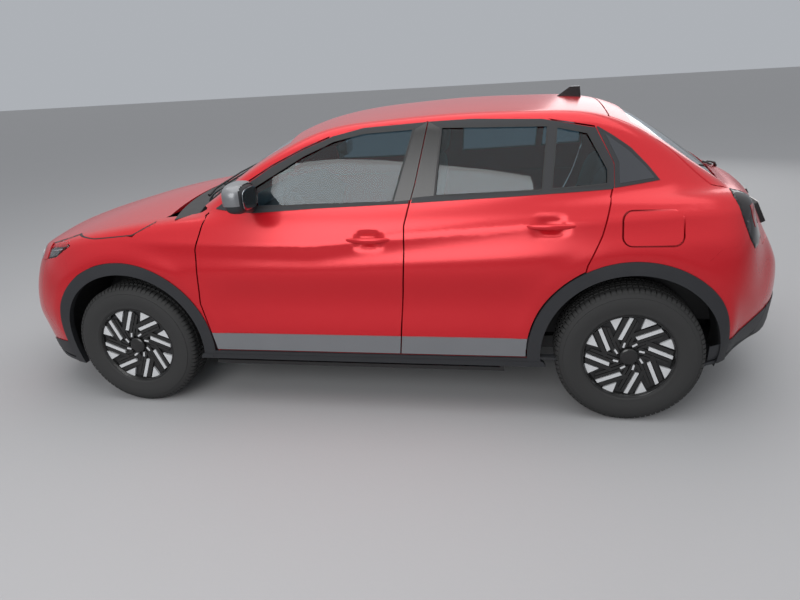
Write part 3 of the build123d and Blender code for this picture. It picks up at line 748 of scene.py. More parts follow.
def shaded_from(mesh, normal_of):
    """Gives the outer faces of a mesh the skin's own normals."""
    mesh.update()
    loops = [(0.0, 0.0, 0.0)] * len(mesh.loops)
    outer = set()
    for face in mesh.polygons:
        known = [normal_of.get(v) for v in face.vertices]
        if all(n is not None for n in known) and np.dot(known[0], face.normal) > 0.35:
            outer.add(face.index)
            for loop, normal in zip(face.loop_indices, known):
                loops[loop] = tuple(normal)
    faces_of = {}
    for face in mesh.polygons:
        for key in face.edge_keys:
            faces_of.setdefault(key, []).append(face)
    for edge in mesh.edges:
        pair = faces_of.get(tuple(sorted(edge.vertices)), ())
        if len(pair) != 2 or (pair[0].index in outer) != (pair[1].index in outer):
            edge.use_edge_sharp = True
        elif pair[0].index not in outer and pair[0].normal.dot(pair[1].normal) < 0.8:
            edge.use_edge_sharp = True
    for face in mesh.polygons:
        face.use_smooth = True
    mesh.normals_split_custom_set(loops)


def dressed_panel(node, material):
    """A painted panel that stands for its CAD node, with the real skin's form."""
    work = bmesh.new()
    normal_of = settled_copy(node, work)
    mesh = mesh_from(work, node + "_skin")
    shaded_from(mesh, normal_of)
    return shown(node + "_skin", mesh, material, node_body[node], [node])


def skin_layer(node, name, material, lift):
    """The outer faces of a CAD node alone, as a thin sheet moved along the skin's normal."""
    work = bmesh.new()
    normal_of = settled_copy(node, work)
    for vert in work.verts:
        if vert.tag:
            vert.co += Vector(normal_of[vert.index]) * lift
    bmesh.ops.delete(work, geom=[f for f in work.faces if not all(v.tag for v in f.verts)], context="FACES")
    mesh = mesh_from(work, name)
    piece = shown(name, mesh, material, node_body[node])
    for face in mesh.polygons:
        face.use_smooth = True
    thicken(piece, -1)
    return piece


def finished_node(node, material):
    """A CAD node that stays, with a better finish."""
    mesh = frame["nodes"][node].data
    mesh.materials.clear()
    mesh.materials.append(material)


def tucked_node(node, material):
    """A copy of a CAD node drawn in as the body is. It stands for that node."""
    work = bmesh.new()
    work.from_mesh(frame["nodes"][node].data)
    bmesh.ops.remove_doubles(work, verts=work.verts, dist=weld_gap)
    bmesh.ops.triangulate(work, faces=work.faces)
    split_long(work, 5)
    for vert in work.verts:
        vert.co = drawn_in(vert.co)
    crease(work, 35)
    mesh = mesh_from(work, node + "_form")
    return shown(node + "_form", mesh, material, node_body[node], [node])


def resampled(line, count):
    """Even points along a line of corners."""
    line = np.array(line, float)
    lengths = np.concatenate([[0], np.cumsum(np.linalg.norm(np.diff(line, axis=0), axis=1))])
    at = np.linspace(0, lengths[-1], count)
    return np.stack([np.interp(at, lengths, line[:, k]) for k in range(line.shape[1])], axis=1)


def slab_from_grids(top, bottom, closed=False):
    """Vertices and faces of a closed solid between two grids of the same size."""
    rows, columns = top.shape[:2]
    verts = np.concatenate([top.reshape(-1, 3), bottom.reshape(-1, 3)])
    offset = rows * columns
    faces = []
    row_pairs = [(i, (i + 1) % rows) for i in range(rows if closed else rows - 1)]
    for i, k in row_pairs:
        for j in range(columns - 1):
            quad = (i * columns + j, i * columns + j + 1, k * columns + j + 1, k * columns + j)
            faces.append(quad)
            faces.append(tuple(offset + q for q in reversed(quad)))
        for j in (0, columns - 1):
            a, b = i * columns + j, k * columns + j
            faces.append((a, b, offset + b, offset + a))
    if not closed:
        for i in (0, rows - 1):
            for j in range(columns - 1):
                a, b = i * columns + j, i * columns + j + 1
                faces.append((a, b, offset + b, offset + a))
    return verts, faces


def sheet_between(name, view, line_a, line_b, material, body, lift, thick, along=None, across=3,
                  closed=False):
    """A thin solid on the skin between two lines, given in millimetres as one side sees them."""
    line_a = np.array(line_a, float)
    line_b = np.array(line_b, float)
    if closed:
        line_a = np.concatenate([line_a, line_a[:1]])
        line_b = np.concatenate([line_b, line_b[:1]])
    length = max(np.linalg.norm(np.diff(line, axis=0), axis=1).sum() for line in (line_a, line_b))
    along = along or max(3, int(length / sheet_step))
    if closed:
        first, second = corner_samples(line_a, line_b, along)
    else:
        first = resampled(line_a, along)
        second = resampled(line_b, along)
    top = np.zeros((len(first), across, 3))
    bottom = np.zeros_like(top)
    for i, (a, b) in enumerate(zip(first, second)):
        for j in range(across):
            spot = a + (b - a) * j / (across - 1)
            place, normal = skin.seen(view, spot[0] * mm, spot[1] * mm)
            bottom[i, j] = place + normal * lift * mm
            top[i, j] = place + normal * (lift + thick) * mm
    return solid(name, slab_from_grids(top, bottom, closed), 50, material, body)


def corner_samples(line_a, line_b, along):
    """Matching points along two closed lines whose corners belong together."""
    first, second = [], []
    total = np.linalg.norm(np.diff(line_a, axis=0), axis=1).sum()
    for k in range(len(line_a) - 1):
        count = max(1, round(along * np.linalg.norm(line_a[k + 1] - line_a[k]) / total))
        for step in range(count):
            share = step / count
            first.append(line_a[k] * (1 - share) + line_a[k + 1] * share)
            second.append(line_b[k] * (1 - share) + line_b[k + 1] * share)
    return np.array(first), np.array(second)


def outset(outline, by):
    """A closed outline with each side moved out by a distance, in millimetres."""
    points = np.array(outline, float)
    area = np.sum(points[:, 0] * np.roll(points[:, 1], -1) - np.roll(points[:, 0], -1) * points[:, 1])
    turn = 1 if area > 0 else -1
    moved = []
    for k, point in enumerate(points):
        before = point - points[k - 1]
        after = points[(k + 1) % len(points)] - point
        n1 = turn * np.array([before[1], -before[0]]) / np.linalg.norm(before)
        n2 = turn * np.array([after[1], -after[0]]) / np.linalg.norm(after)
        bisector = n1 + n2
        moved.append(point + bisector * by / max(bisector @ n1, 0.3))
    return np.array(moved)


def lathe(profile, place, steps):
    """Vertices and faces of a closed profile of radius and depth turned about an axis."""
    verts, faces = [], []
    count = len(profile)
    for step in range(steps):
        angle = 2 * pi * step / steps
        for radius, depth in profile:
            verts.append(place @ Vector((radius * cos(angle), radius * sin(angle), depth)))
    for step in range(steps):
        following = (step + 1) % steps
        for k in range(count):
            n = (k + 1) % count
            faces.append((step * count + k, following * count + k, following * count + n, step * count + n))
    return verts, faces


def tube(points, radius, steps):
    """Vertices and faces of a round rod along points, with closed ends. Radius may be a list."""
    points = [Vector(p) for p in points]
    radii = radius if isinstance(radius, (list, tuple)) else [radius] * len(points)
    verts, faces = [], []
    side = None
    for k, point in enumerate(points):
        ahead = (points[min(k + 1, len(points) - 1)] - points[max(k - 1, 0)]).normalized()
        if side is None:
            side = ahead.orthogonal().normalized()
        side = (side - ahead * side.dot(ahead)).normalized()
        up = ahead.cross(side)
        for step in range(steps):
            angle = 2 * pi * step / steps
            verts.append(point + (side * cos(angle) + up * sin(angle)) * radii[k])
    for k in range(len(points) - 1):
        for step in range(steps):
            n = (step + 1) % steps
            faces.append((k * steps + step, k * steps + n, (k + 1) * steps + n, (k + 1) * steps + step))
    faces.append(tuple(reversed(range(steps))))
    last = (len(points) - 1) * steps
    faces.append(tuple(range(last, last + steps)))
    return verts, faces


def pillow(centre, half, power, rows, columns, turn=0.0):
    """Vertices and faces of a soft rounded block, leaning about the car's width by turn degrees."""
    def bent(value):
        return (1 if value >= 0 else -1) * abs(value) ** (2 / power)

    lean = Matrix.Rotation(radians(turn), 3, "Y")
    verts = []
    for i in range(1, rows):
        level = -pi / 2 + pi * i / rows
        for j in range(columns):
            angle = 2 * pi * j / columns
            spot = Vector((half[0] * bent(cos(level)) * bent(cos(angle)),
                           half[1] * bent(cos(level)) * bent(sin(angle)),
                           half[2] * bent(sin(level))))
            verts.append(Vector(centre) + lean @ spot)
    low, high = len(verts), len(verts) + 1
    verts.append(Vector(centre) + lean @ Vector((0, 0, -half[2])))
    verts.append(Vector(centre) + lean @ Vector((0, 0, half[2])))
    faces = []
    for i in range(rows - 2):
        for j in range(columns):
            n = (j + 1) % columns
            faces.append((i * columns + j, i * columns + n, (i + 1) * columns + n, (i + 1) * columns + j))
    top = (rows - 2) * columns
    for j in range(columns):
        n = (j + 1) % columns
        faces.append((low, n, j))
        faces.append((high, top + j, top + n))
    return verts, faces


def prism_faces(count):
    """Faces of a prism between two outlines of the same number of corners."""
    faces = [tuple(reversed(range(count))), tuple(range(count, 2 * count))]
    return faces + [(k, (k + 1) % count, count + (k + 1) % count, count + k) for k in range(count)]


def joined(*parts):
    """Several sets of vertices and faces as one."""
    verts, faces = [], []
    for some_verts, some_faces in parts:
        start = len(verts)
        verts += [Vector(v) for v in some_verts]
        faces += [tuple(start + k for k in face) for face in some_faces]
    return verts, faces


def turned_copies(name, shape, place, count, material, body, sharp=35):
    """A shape repeated round a wheel's axis by Geometry Nodes, made one plain mesh."""
    source = bpy.data.objects.new(name + "_source", smooth_mesh(name + "_source", *shape, sharp, True))
    bpy.context.scene.collection.objects.link(source)
    tree = bpy.data.node_groups.new(name + "_round", "GeometryNodeTree")
    tree.interface.new_socket(name="Geometry", in_out="INPUT", socket_type="NodeSocketGeometry")
    copies = tree.interface.new_socket(name="Copies", in_out="INPUT", socket_type="NodeSocketInt")
    tree.interface.new_socket(name="Geometry", in_out="OUTPUT", socket_type="NodeSocketGeometry")
    given = tree.nodes.new("NodeGroupInput").outputs
    end = tree.nodes.new("NodeGroupOutput")
    row = wired(tree, "GeometryNodeMeshLine", {"Offset": (0, 0, 0), "Count": given["Copies"]})
    index = tree.nodes.new("GeometryNodeInputIndex").outputs[0]
    share = wired(tree, "ShaderNodeMath", {0: index, 1: given["Copies"]}, operation="DIVIDE")
    angle = wired(tree, "ShaderNodeMath", {0: share.outputs[0], 1: 2 * pi}, operation="MULTIPLY")
    spin = wired(tree, "ShaderNodeCombineXYZ", {"Z": angle.outputs[0]})
    spots = wired(tree, "GeometryNodeInstanceOnPoints", {
        "Points": row.outputs["Mesh"], "Instance": given["Geometry"], "Rotation": spin.outputs[0]})
    real = wired(tree, "GeometryNodeRealizeInstances", {0: spots.outputs[0]})
    coat = wired(tree, "GeometryNodeSetMaterial", {0: real.outputs[0], "Material": material})
    tree.links.new(coat.outputs[0], end.inputs[0])
    modifier = source.modifiers.new("round", "NODES")
    modifier.node_group = tree
    modifier[copies.identifier] = count
    depsgraph = bpy.context.evaluated_depsgraph_get()
    mesh = bpy.data.meshes.new_from_object(source.evaluated_get(depsgraph))
    bpy.data.objects.remove(source)
    mesh.transform(place)
    mesh.name = name
    return shown(name, mesh, material, body)


# Outlines on the left side, as x and z in millimetres


def from_x(start, *points):
    """Points whose x is counted from a place along the car."""
    return [(start + x, z) for x, z in points]


front_window = (from_x(front_x, (770, 1075), (762, 1170), (1012, 1303), (1164, 1364), (1314, 1394))
                + from_x(b_pillar_x, (78, 1404), (-20, 1083)))
rear_window = (from_x(b_pillar_x, (176, 1105), (205, 1406))
               + from_x(rear_x, (-386, 1393), (-408, 1119)))
rear_pane = from_x(rear_x, (-372, 1122), (-351, 1387), (-212, 1356), (-124, 1200), (-124, 1136))
pillar_line = from_x(b_pillar_x, (143, 1430), (84, 1162), (64, 1092))
pillar_half_gap = 2.4
front_frame = (
    from_x(front_x, (757, 1168), (1012, 1299), (1164, 1360), (1314, 1390))
    + from_x(b_pillar_x, (82, 1400)),
    from_x(front_x, (735, 1188), (855, 1257), (1010, 1327), (1162, 1383), (1312, 1414))
    + from_x(b_pillar_x, (137, 1428)),
)
rear_frame = (
    from_x(b_pillar_x, (198, 1402)) + from_x(rear_x, (-386, 1389), (-351, 1383), (-214, 1352)),
    from_x(b_pillar_x, (148, 1429)) + from_x(rear_x, (-732, 1433), (-410, 1419), (-187, 1374)),
)
rear_frame_end = (
    from_x(rear_x, (-214, 1353), (-127, 1200), (-127, 1132)),
    from_x(rear_x, (-182, 1377), (-100, 1221), (-99, 1122)),
)
pane_divider = (
    from_x(rear_x, (-411, 1112), (-389, 1394)),
    from_x(rear_x, (-369, 1114), (-348, 1388)),
)
front_belt = (
    from_x(front_x, (548, 1064), (762, 1048), (1092, 1064)) + from_x(b_pillar_x, (53, 1077)),
    from_x(front_x, (556, 1073), (774, 1079)) + from_x(b_pillar_x, (-16, 1087), (57, 1092)),
)
rear_belt = (
    from_x(b_pillar_x, (66, 1079)) + from_x(rear_x, (-566, 1096), (-103, 1117)),
    from_x(b_pillar_x, (74, 1102), (176, 1109)) + from_x(rear_x, (-404, 1123), (-128, 1140), (-104, 1141)),
)
sail = (
    from_x(front_x, (548, 1066), (776, 1077)),
    from_x(front_x, (733, 1186), (764, 1171)),
)
quarter_cover = (
    from_x(rear_x, (-96.5, 1121), (-98, 1222), (-176, 1376)),
    from_x(rear_x, (99, 1143), (47, 1207), (-27, 1283), (-102, 1336), (-170, 1378)),
)
quarter_pane = (
    from_x(rear_x, (-76, 1138), (-78, 1226), (-138, 1344)),
    from_x(rear_x, (76, 1153), (34, 1202), (-36, 1270), (-106, 1321), (-136, 1346)),
)
seal_out = 3
seal_in = 6
lamp_brow = (
    from_x(front_x, (-468, 884), (-506, 802)),
    from_x(front_x, (-552, 870), (-586, 778)),
)
lamp_bar = from_x(front_x, (-340, 876), (-455, 852))
front_lip = (
    from_x(front_x, (-425, 206), (-560, 208), (-650, 218)),
    from_x(front_x, (-425, 330), (-560, 318), (-650, 300)),
)
rear_lip = (
    from_x(rear_x, (350, 304), (480, 320), (570, 340), (630, 366), (690, 384)),
    from_x(rear_x, (350, 396), (480, 420), (570, 452), (630, 476), (690, 490)),
)
# Painted shade: a thin black strip along each hood edge stands for the dark gap between hood and fender.
hood_seam_shade = (
    from_x(front_x, (-470, 880), (-262, 938), (-130, 932), (100, 952), (215, 1005)),
    from_x(front_x, (-470, 885), (-262, 943), (-130, 937), (100, 957), (212, 1010)),
)
sill_edge = (
    from_x(front_x, (497, 326)) + from_x(rear_x, (-330, 326)),
    from_x(front_x, (497, 334.2)) + from_x(rear_x, (-330, 334.2)),
)

# Sheets across the nose and the tail: view, half width and height of the lower and the upper edge, material,
# body, lift, thickness and numbers of steps, in millimetres

cross_sheets = {
    "lower_intake": ("front", (430, 300), (400, 440), black_plastic_and_seam_shade, "root", 0.5, 3, 40, 8),
    "lower_lip": ("front", (560, 236), (600, 286), trim_plastic, "root", 1, 4, 60, 5),
    "upper_slot": ("front", (300, 690), (285, 722), gloss_black, "root", 0.5, 3, 30, 3),
    "rear_valance": ("rear", (560, 304), (560, 492), trim_plastic, "root", 1.5, 4, 60, 8),
    "tailgate_handle": ("rear", (190, 962), (190, 984), gloss_black, "tailgate", 2, 9, 30, 3),
}

# One tail light seen from behind, as y and z in millimetres

tail_light = (
    [(655, 920), (668, 980), (662, 1020)],
    [(685, 915), (700, 975), (692, 1016)],
)

# The stage in metres: name, place, target, size and share of the key light's power of each lamp. The camera's
# yaw, pitch and roll are in degrees.

floor_half = 40.0
stage_lamps = (
    ("key", (0.2, -0.4, 5.2), (0, 0, 0.4), 6.5, 2.0),
    ("fill", (-1.0, -6.5, 3.2), (0, 0, 0.6), 4.0, 2.0),
    ("back", (3.0, 6.0, 3.6), (0, 0, 0.8), 4.0, 0.8),
)
camera_place = (0.79888, -3.63855, 1.69972)
camera_turn = (-11.5376, 20.8532, -3.6745)


class SUV_OT_stage(bpy.types.Operator):
    """Floor, backdrop, lamps and the camera."""

    bl_idname = "suv.stage"
    bl_label = "Stage"

    def execute(self, context):
        settings = context.scene.suv_stage
        corners = [(x * floor_half, y * floor_half, 0) for x, y in ((-1, -1), (1, -1), (1, 1), (-1, 1))]
        floor_mesh = bpy.data.meshes.new("floor")
        floor_mesh.from_pydata(corners, [], [(0, 1, 2, 3)])
        floor = bpy.data.objects.new("floor", floor_mesh)
        context.scene.collection.objects.link(floor)
        floor_mesh.materials.append(
            surface("floor", tuple(settings.floor), 0.9, (0.7, 0.03), (60, 0.1, 0.002, 1)))
        for name, place, target, size, share in stage_lamps:
            self.lamp(name, place, target, size, settings.key_power * share)
        self.sky(context)
        self.camera(context, settings.lens)
        context.scene.view_settings.view_transform = "Standard"
        return {"FINISHED"}

    def lamp(self, name, place, target, size, power):
        """A large soft lamp that looks at a point."""
        light = bpy.data.lights.new(name, "AREA")
        light.shape = "SQUARE"
        light.size = size
        light.energy = power
        lamp = bpy.data.objects.new(name, light)
        lamp.location = place
        lamp.rotation_euler = (Vector(target) - Vector(place)).to_track_quat("-Z", "Y").to_euler()
        bpy.context.scene.collection.objects.link(lamp)

    def sky(self, context):
        """Soft light, and a pale backdrop that the camera, paint and glass all show."""
        world = bpy.data.worlds.new("pale_sky")
        context.scene.world = world
        world.use_nodes = True
        tree = world.node_tree
        back = tree.nodes["Background"]
        back.inputs["Color"].default_value = (0.92, 0.95, 1.0, 1)
        back.inputs["Strength"].default_value = 0.55
        place = tree.nodes.new("ShaderNodeTexCoord").outputs["Generated"]
        split = wired(tree, "ShaderNodeSeparateXYZ", {0: place})
        height = wired(tree, "ShaderNodeValToRGB", {0: split.outputs["Z"]})
        low, high = height.color_ramp.elements
        low.position, low.color = 0.10, (0.42, 0.44, 0.47, 1)
        high.position, high.color = 0.70, (1.0, 1.0, 1.0, 1)
        backdrop = wired(tree, "ShaderNodeBackground", {"Color": height.outputs[0]})
        rays = tree.nodes.new("ShaderNodeLightPath").outputs
        shown_to = rays["Is Camera Ray"]
        for kind in ("Is Glossy Ray", "Is Transmission Ray"):
            either = wired(tree, "ShaderNodeMath", {0: shown_to, 1: rays[kind]}, operation="MAXIMUM")
            shown_to = either.outputs[0]
        mix = wired(tree, "ShaderNodeMixShader", {
            0: shown_to, 1: back.outputs[0], 2: backdrop.outputs[0]})
        tree.links.new(mix.outputs[0], tree.nodes["World Output"].inputs["Surface"])

    def camera(self, context, lens):
        """The photograph's viewpoint, fitted to the wheels."""
        yaw, pitch, roll = (radians(angle) for angle in camera_turn)
        ahead = Vector((sin(yaw) * cos(pitch), cos(yaw) * cos(pitch), -sin(pitch)))
        level = Vector((cos(yaw), -sin(yaw), 0))
        upright = level.cross(ahead)
        right = level * cos(roll) + upright * sin(roll)
        up = upright * cos(roll) - level * sin(roll)
        camera = bpy.data.objects.new("camera", bpy.data.cameras.new("camera"))
        camera.data.lens = lens
        camera.data.sensor_width = 36
        camera.data.sensor_fit = "HORIZONTAL"
        turn = Matrix((right, up, -ahead)).transposed().to_4x4()
        camera.matrix_world = Matrix.Translation(camera_place) @ turn
        context.scene.collection.objects.link(camera)
        context.scene.camera = camera


class SUV_OT_panels(bpy.types.Operator):
    """Painted panels with the real skin's dish, shoulder line and flares."""

    bl_idname = "suv.panels"
    bl_label = "Painted panels"

    def execute(self, context):
        for node, slot in slot_of.items():
            if slot == "body_paint" and node != "fuel_flap":
                dressed_panel(node, body_paint())
        flap_x, flap_z = rear_x + 64, 958
        half_width, half_height, corner = 124, 70, 38
        reach_x = np.concatenate([-half_width + corner * (1 - np.cos(np.linspace(0, pi / 2, 10))),
                                  half_width - corner * (1 - np.cos(np.linspace(pi / 2, 0, 10)))])
        past = np.maximum(np.abs(reach_x) - (half_width - corner), 0)
        half = half_height - corner + np.sqrt(np.maximum(corner ** 2 - past ** 2, 0))
        lower, upper = (np.stack([flap_x + reach_x, flap_z + half * way], axis=1) for way in (-1, 1))
        flap = sheet_between("fuel_flap_skin", "left", lower, upper, body_paint(), "fuel_flap", -6, 6.2,
                             along=60, across=12)
        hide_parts("fuel_flap")
        return {"FINISHED"}


class SUV_OT_glazing(bpy.types.Operator):
    """Window glass, its black seals and the pillar covers."""

    bl_idname = "suv.glazing"
    bl_label = "Glazing"

    def execute(self, context):
        for node, slot in slot_of.items():
            if slot == "tinted_glass":
                finished_node(node, window_glass())
        black = gloss_black()
        for side in sides:
            view = side_view[side]
            front_door, rear_door = f"door_front_{side}", f"door_rear_{side}"
            seals = (
                ("front_window", front_window, front_door),
                ("rear_window", rear_window, rear_door),
                ("rear_pane", rear_pane, rear_door),
            )
            for name, outline, body in seals:
                outer, inner = outset(outline, seal_out), outset(outline, -seal_in)
                sheet_between(f"{name}_seal_{side}", view, outer, inner, black_plastic_and_seam_shade(), body, 1.2, 3,
                              across=2, closed=True)
            frames = (
                ("front_frame", front_frame, front_door),
                ("front_belt", front_belt, front_door),
                ("mirror_sail", sail, front_door),
                ("rear_frame", rear_frame, rear_door),
                ("rear_frame_end", rear_frame_end, rear_door),
                ("rear_belt", rear_belt, rear_door),
                ("pane_divider", pane_divider, rear_door),
                ("quarter_cover", quarter_cover, "root"),
            )
            for name, lines, body in frames:
                sheet_between(f"{name}_{side}", view, *lines, trim_plastic(), body, 0.5, 2.5, across=7)
            sheet_between(f"quarter_pane_{side}", view, *quarter_pane, privacy_glass(), "root", 2.4, 1.6,
                          across=8)
            pillar = np.array(pillar_line, float)
            front_edge = [front_window[5], front_window[6]]
            rear_edge = [rear_window[1], rear_window[0]]
            before, behind = pillar - (pillar_half_gap, 0), pillar + (pillar_half_gap, 0)
            sheet_between(f"pillar_cover_front_{side}", view, front_edge, before, black, front_door, 0.4, 2.5)
            sheet_between(f"pillar_cover_rear_{side}", view, behind, rear_edge, black, rear_door, 0.4, 2.5)
        return {"FINISHED"}


class SUV_OT_trims(bpy.types.Operator):
    """Wheel opening trims, cladding, liners and cowl."""

    bl_idname = "suv.trims"
    bl_label = "Trims"

    def execute(self, context):
        for side in sides:
            finished_node(f"door_cladding_front_{side}", cladding_plastic())
            finished_node(f"door_cladding_rear_{side}", cladding_plastic())
            view = side_view[side]
            sheet_between(f"sill_edge_{side}", view, *sill_edge, trim_plastic(), "root", 0.6, 2.2, across=2)
            sill_top = [(x * mm, sides[side] * y * mm, z * mm) for z in (334.7, 335.7) for x, y in (
                (front_x + 500, 870), (rear_x - 332, 870), (rear_x - 332, 835), (front_x + 500, 835))]
            solid(f"sill_top_{side}", (sill_top, prism_faces(4)), 40, trim_plastic(), "root")
        tucked_node("lower_trims", trim_plastic())
        finished_node("cowl", black_plastic_and_seam_shade())
        tucked_node("wheel_liners", black_plastic_and_seam_shade())
        finished_node("antenna_fin", gloss_black())
        return {"FINISHED"}


class SUV_OT_lamps(bpy.types.Operator):
    """Head lamps and tail lamps behind their lenses."""

    bl_idname = "suv.lamps"
    bl_label = "Lamps"

    def execute(self, context):
        lens = skin_layer("headlamps", "headlamp_lens", clear_lens(), 0.5 * mm)
        skin_layer("headlamps", "headlamp_housing", lamp_smoke(), -17 * mm)
        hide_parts("headlamps")
        dressed_panel("tail_lamps", black_plastic_and_seam_shade())
        skin_layer("tail_lamps", "tail_lamp_lens", smoked_lens(), 1.5 * mm)
        for side, sign in sides.items():
            view = side_view[side]
            self.bowl(side, sign, (0.560, 0.450))
            sheet_between(f"lamp_brow_{side}", view, *lamp_brow, body_paint(), "root", 1, 4, across=5)
            self.light_bar(side, view)
            lines = [[(sign * y, z) for y, z in line] for line in tail_light]
            sheet_between(f"tail_light_{side}", "rear", *lines, red_lens(), "root", 1, 2.5, across=4)
        return {"FINISHED"}

    def bowl(self, side, sign, spots):
        """Two round reflectors with bright rings, inside a head lamp."""
        ring = [(0.024, -0.012), (0.027, -0.008), (0.027, -0.002), (0.024, 0.001), (0.021, -0.002),
                (0.021, -0.008)]
        dish = [(0.001, -0.016), (0.012, -0.014), (0.021, -0.006), (0.021, -0.009), (0.012, -0.017),
                (0.001, -0.019)]
        lamp_z, lamp_depth = 0.786, 0.010
        for number, y in enumerate(spots):
            place, normal = skin.seen("front", sign * y, lamp_z)
            centre = Vector(place) - Vector(normal) * lamp_depth
            turn = Vector((-1, 0.15 * sign, 0.1)).to_track_quat("Z", "Y").to_matrix().to_4x4()
            for title, profile, material in (("ring", ring, silver_paint()), ("bowl", dish, lamp_chrome())):
                shape = lathe(profile, Matrix.Translation(centre) @ turn, 40)
                solid(f"lamp_{title}_{number}_{side}", shape, 50, material, "root")

    def light_bar(self, side, view):
        """The bright bar under the lamp's upper edge."""
        path = []
        for x, z in resampled(lamp_bar, 12):
            place, normal = skin.seen(view, x * mm, z * mm)
            path.append(Vector(place - normal * 8 * mm))
        solid(f"light_bar_{side}", tube(path, 4.5 * mm, 10), 50, lamp_chrome(), "root", recalculate=False)


class SUV_OT_nose(bpy.types.Operator):
    """Lower intake, lips, trays, rear valance, plates and their holders, and painted shade along the hood seams.
    """

    bl_idname = "suv.nose"
    bl_label = "Nose and tail"

    def execute(self, context):
        dark, trim = black_plastic_and_seam_shade(), trim_plastic()
        self.cross_sheet("lower_intake")
        self.intake_bars()
        for name in ("lower_lip", "upper_slot", "rear_valance"):
            self.cross_sheet(name)
        for side in sides:
            for name, lines in (("front_lip", front_lip), ("rear_lip", rear_lip)):
                sheet_between(f"{name}_{side}", side_view[side], *lines, trim, "root", 1, 4, across=6)
        front_rows = [row for row in placed_rows(lower_front, []) if -700 < row[0] - front_x < -380]
        rear_rows = [row for row in placed_rows([], lower_rear) if row[0] - rear_x > 280]
        self.tray("front_tray", front_rows, trim)
        self.tray("rear_tray", rear_rows, trim)
        self.plate("front_plate", "front", 0.50, "root")
        self.plate("rear_plate", "rear", 0.88, "tailgate")
        self.cross_sheet("tailgate_handle")
        for side, sign in sides.items():
            # Painted shade of the hood gap: a thin black strip along each hood edge.
            sheet_between(f"hood_seam_shade_{side}", side_view[side], *hood_seam_shade, dark, "root", -1.4, 1.8, across=2)
            lines = [[(sign * y, z) for y in (400, 520)] for z in (400, 422)]
            sheet_between(f"rear_reflector_{side}", "rear", *lines, red_lens(), "root", 2, 2,
                          along=14, across=3)
        return {"FINISHED"}

    def cross_sheet(self, name):
        """One of the sheets that lie across the nose or the tail."""
        view, low, high, material, *placing = cross_sheets[name]
        lines = [[(-half, z), (half, z)] for half, z in (low, high)]
        sheet_between(name, view, *lines, material(), *placing)

    def intake_bars(self):
        """Four level bars across the lower intake."""
        bars = []
        for level in (325, 355, 385, 415):
            path = []
            for y in np.linspace(-405, 405, 34):
                spot, normal = skin.seen("front", y * mm, level * mm)
                path.append(Vector(spot + normal * 5 * mm))
            bars.append(tube(path, 5 * mm, 8))
        solid("intake_bars", joined(*bars), 40, gloss_black(), "root", recalculate=False)

    def tray(self, name, rows, material):
        """A dark plate along the lower edge of a bumper."""
        margin, height, columns = 3, 15, 15
        rows = sampled_rows(np.array(rows), 30)
        width = rows[:, 2] + margin
        low = rows[:, 1] - margin
        top = np.zeros((len(rows), columns, 3))
        top[:, :, 0] = rows[:, :1]
        top[:, :, 1] = width[:, None] * np.linspace(-1, 1, columns)
        top[:, :, 2] = low[:, None] + height
        bottom = top - (0, 0, height)
        solid(name, slab_from_grids(drawn_in(top * mm), drawn_in(bottom * mm)), 50, material, "root")

    def plate(self, name, view, z, body):
        """A blank plate, flat across the middle, on a holder that reaches back to the skin."""
        spot, normal = skin.seen(view, 0.0, z)
        outward = Vector((normal[0], 0, normal[2])).normalized()
        up = outward.cross(Vector((0, 1, 0)))
        up = up if up.z > 0 else -up
        half_w, half_h, thick, corner = 0.26, 0.0555, 0.003, 0.008
        outline = []
        for cx, cz, start in ((1, 1, 0), (-1, 1, 90), (-1, -1, 180), (1, -1, 270)):
            for turn in range(0, 91, 30):
                angle = radians(start + turn)
                outline.append((cx * (half_w - corner) + corner * cos(angle),
                                cz * (half_h - corner) + corner * sin(angle)))
        centre = Vector(spot) + outward * 0.012
        verts = [centre + Vector((0, 1, 0)) * y + up * v + outward * d
                 for d in (0, thick) for y, v in outline]
        solid(name, (verts, prism_faces(len(outline))), 40, plate_white(), body)
        holder = [centre + (Vector((0, 1, 0)) * y + up * v) * 1.03 + outward * d
                  for d in (-0.035, -0.0005) for y, v in outline]
        solid(name + "_holder", (holder, prism_faces(len(outline))), 40, black_plastic_and_seam_shade(), body)


def wheel_frame(name):
    """Place of a wheel whose own z points outwards, seen upright from outside."""
    side = sides[name[-1]]
    centre = hinge_place[f"wheel_{name}"]
    turn = Matrix(((-side, 0, 0), (0, 0, 1), (0, side, 0))).transposed()
    return Matrix.Translation(centre) @ turn.to_4x4()


def flat_bar(outline, low, high):
    """A prism of a flat outline between two depths along the wheel's axis."""
    verts = [Vector((u, v, depth)) for depth in (low, high) for u, v in outline]
    return verts, prism_faces(len(outline))


wheel_names = ("front_l", "front_r", "rear_l", "rear_r")


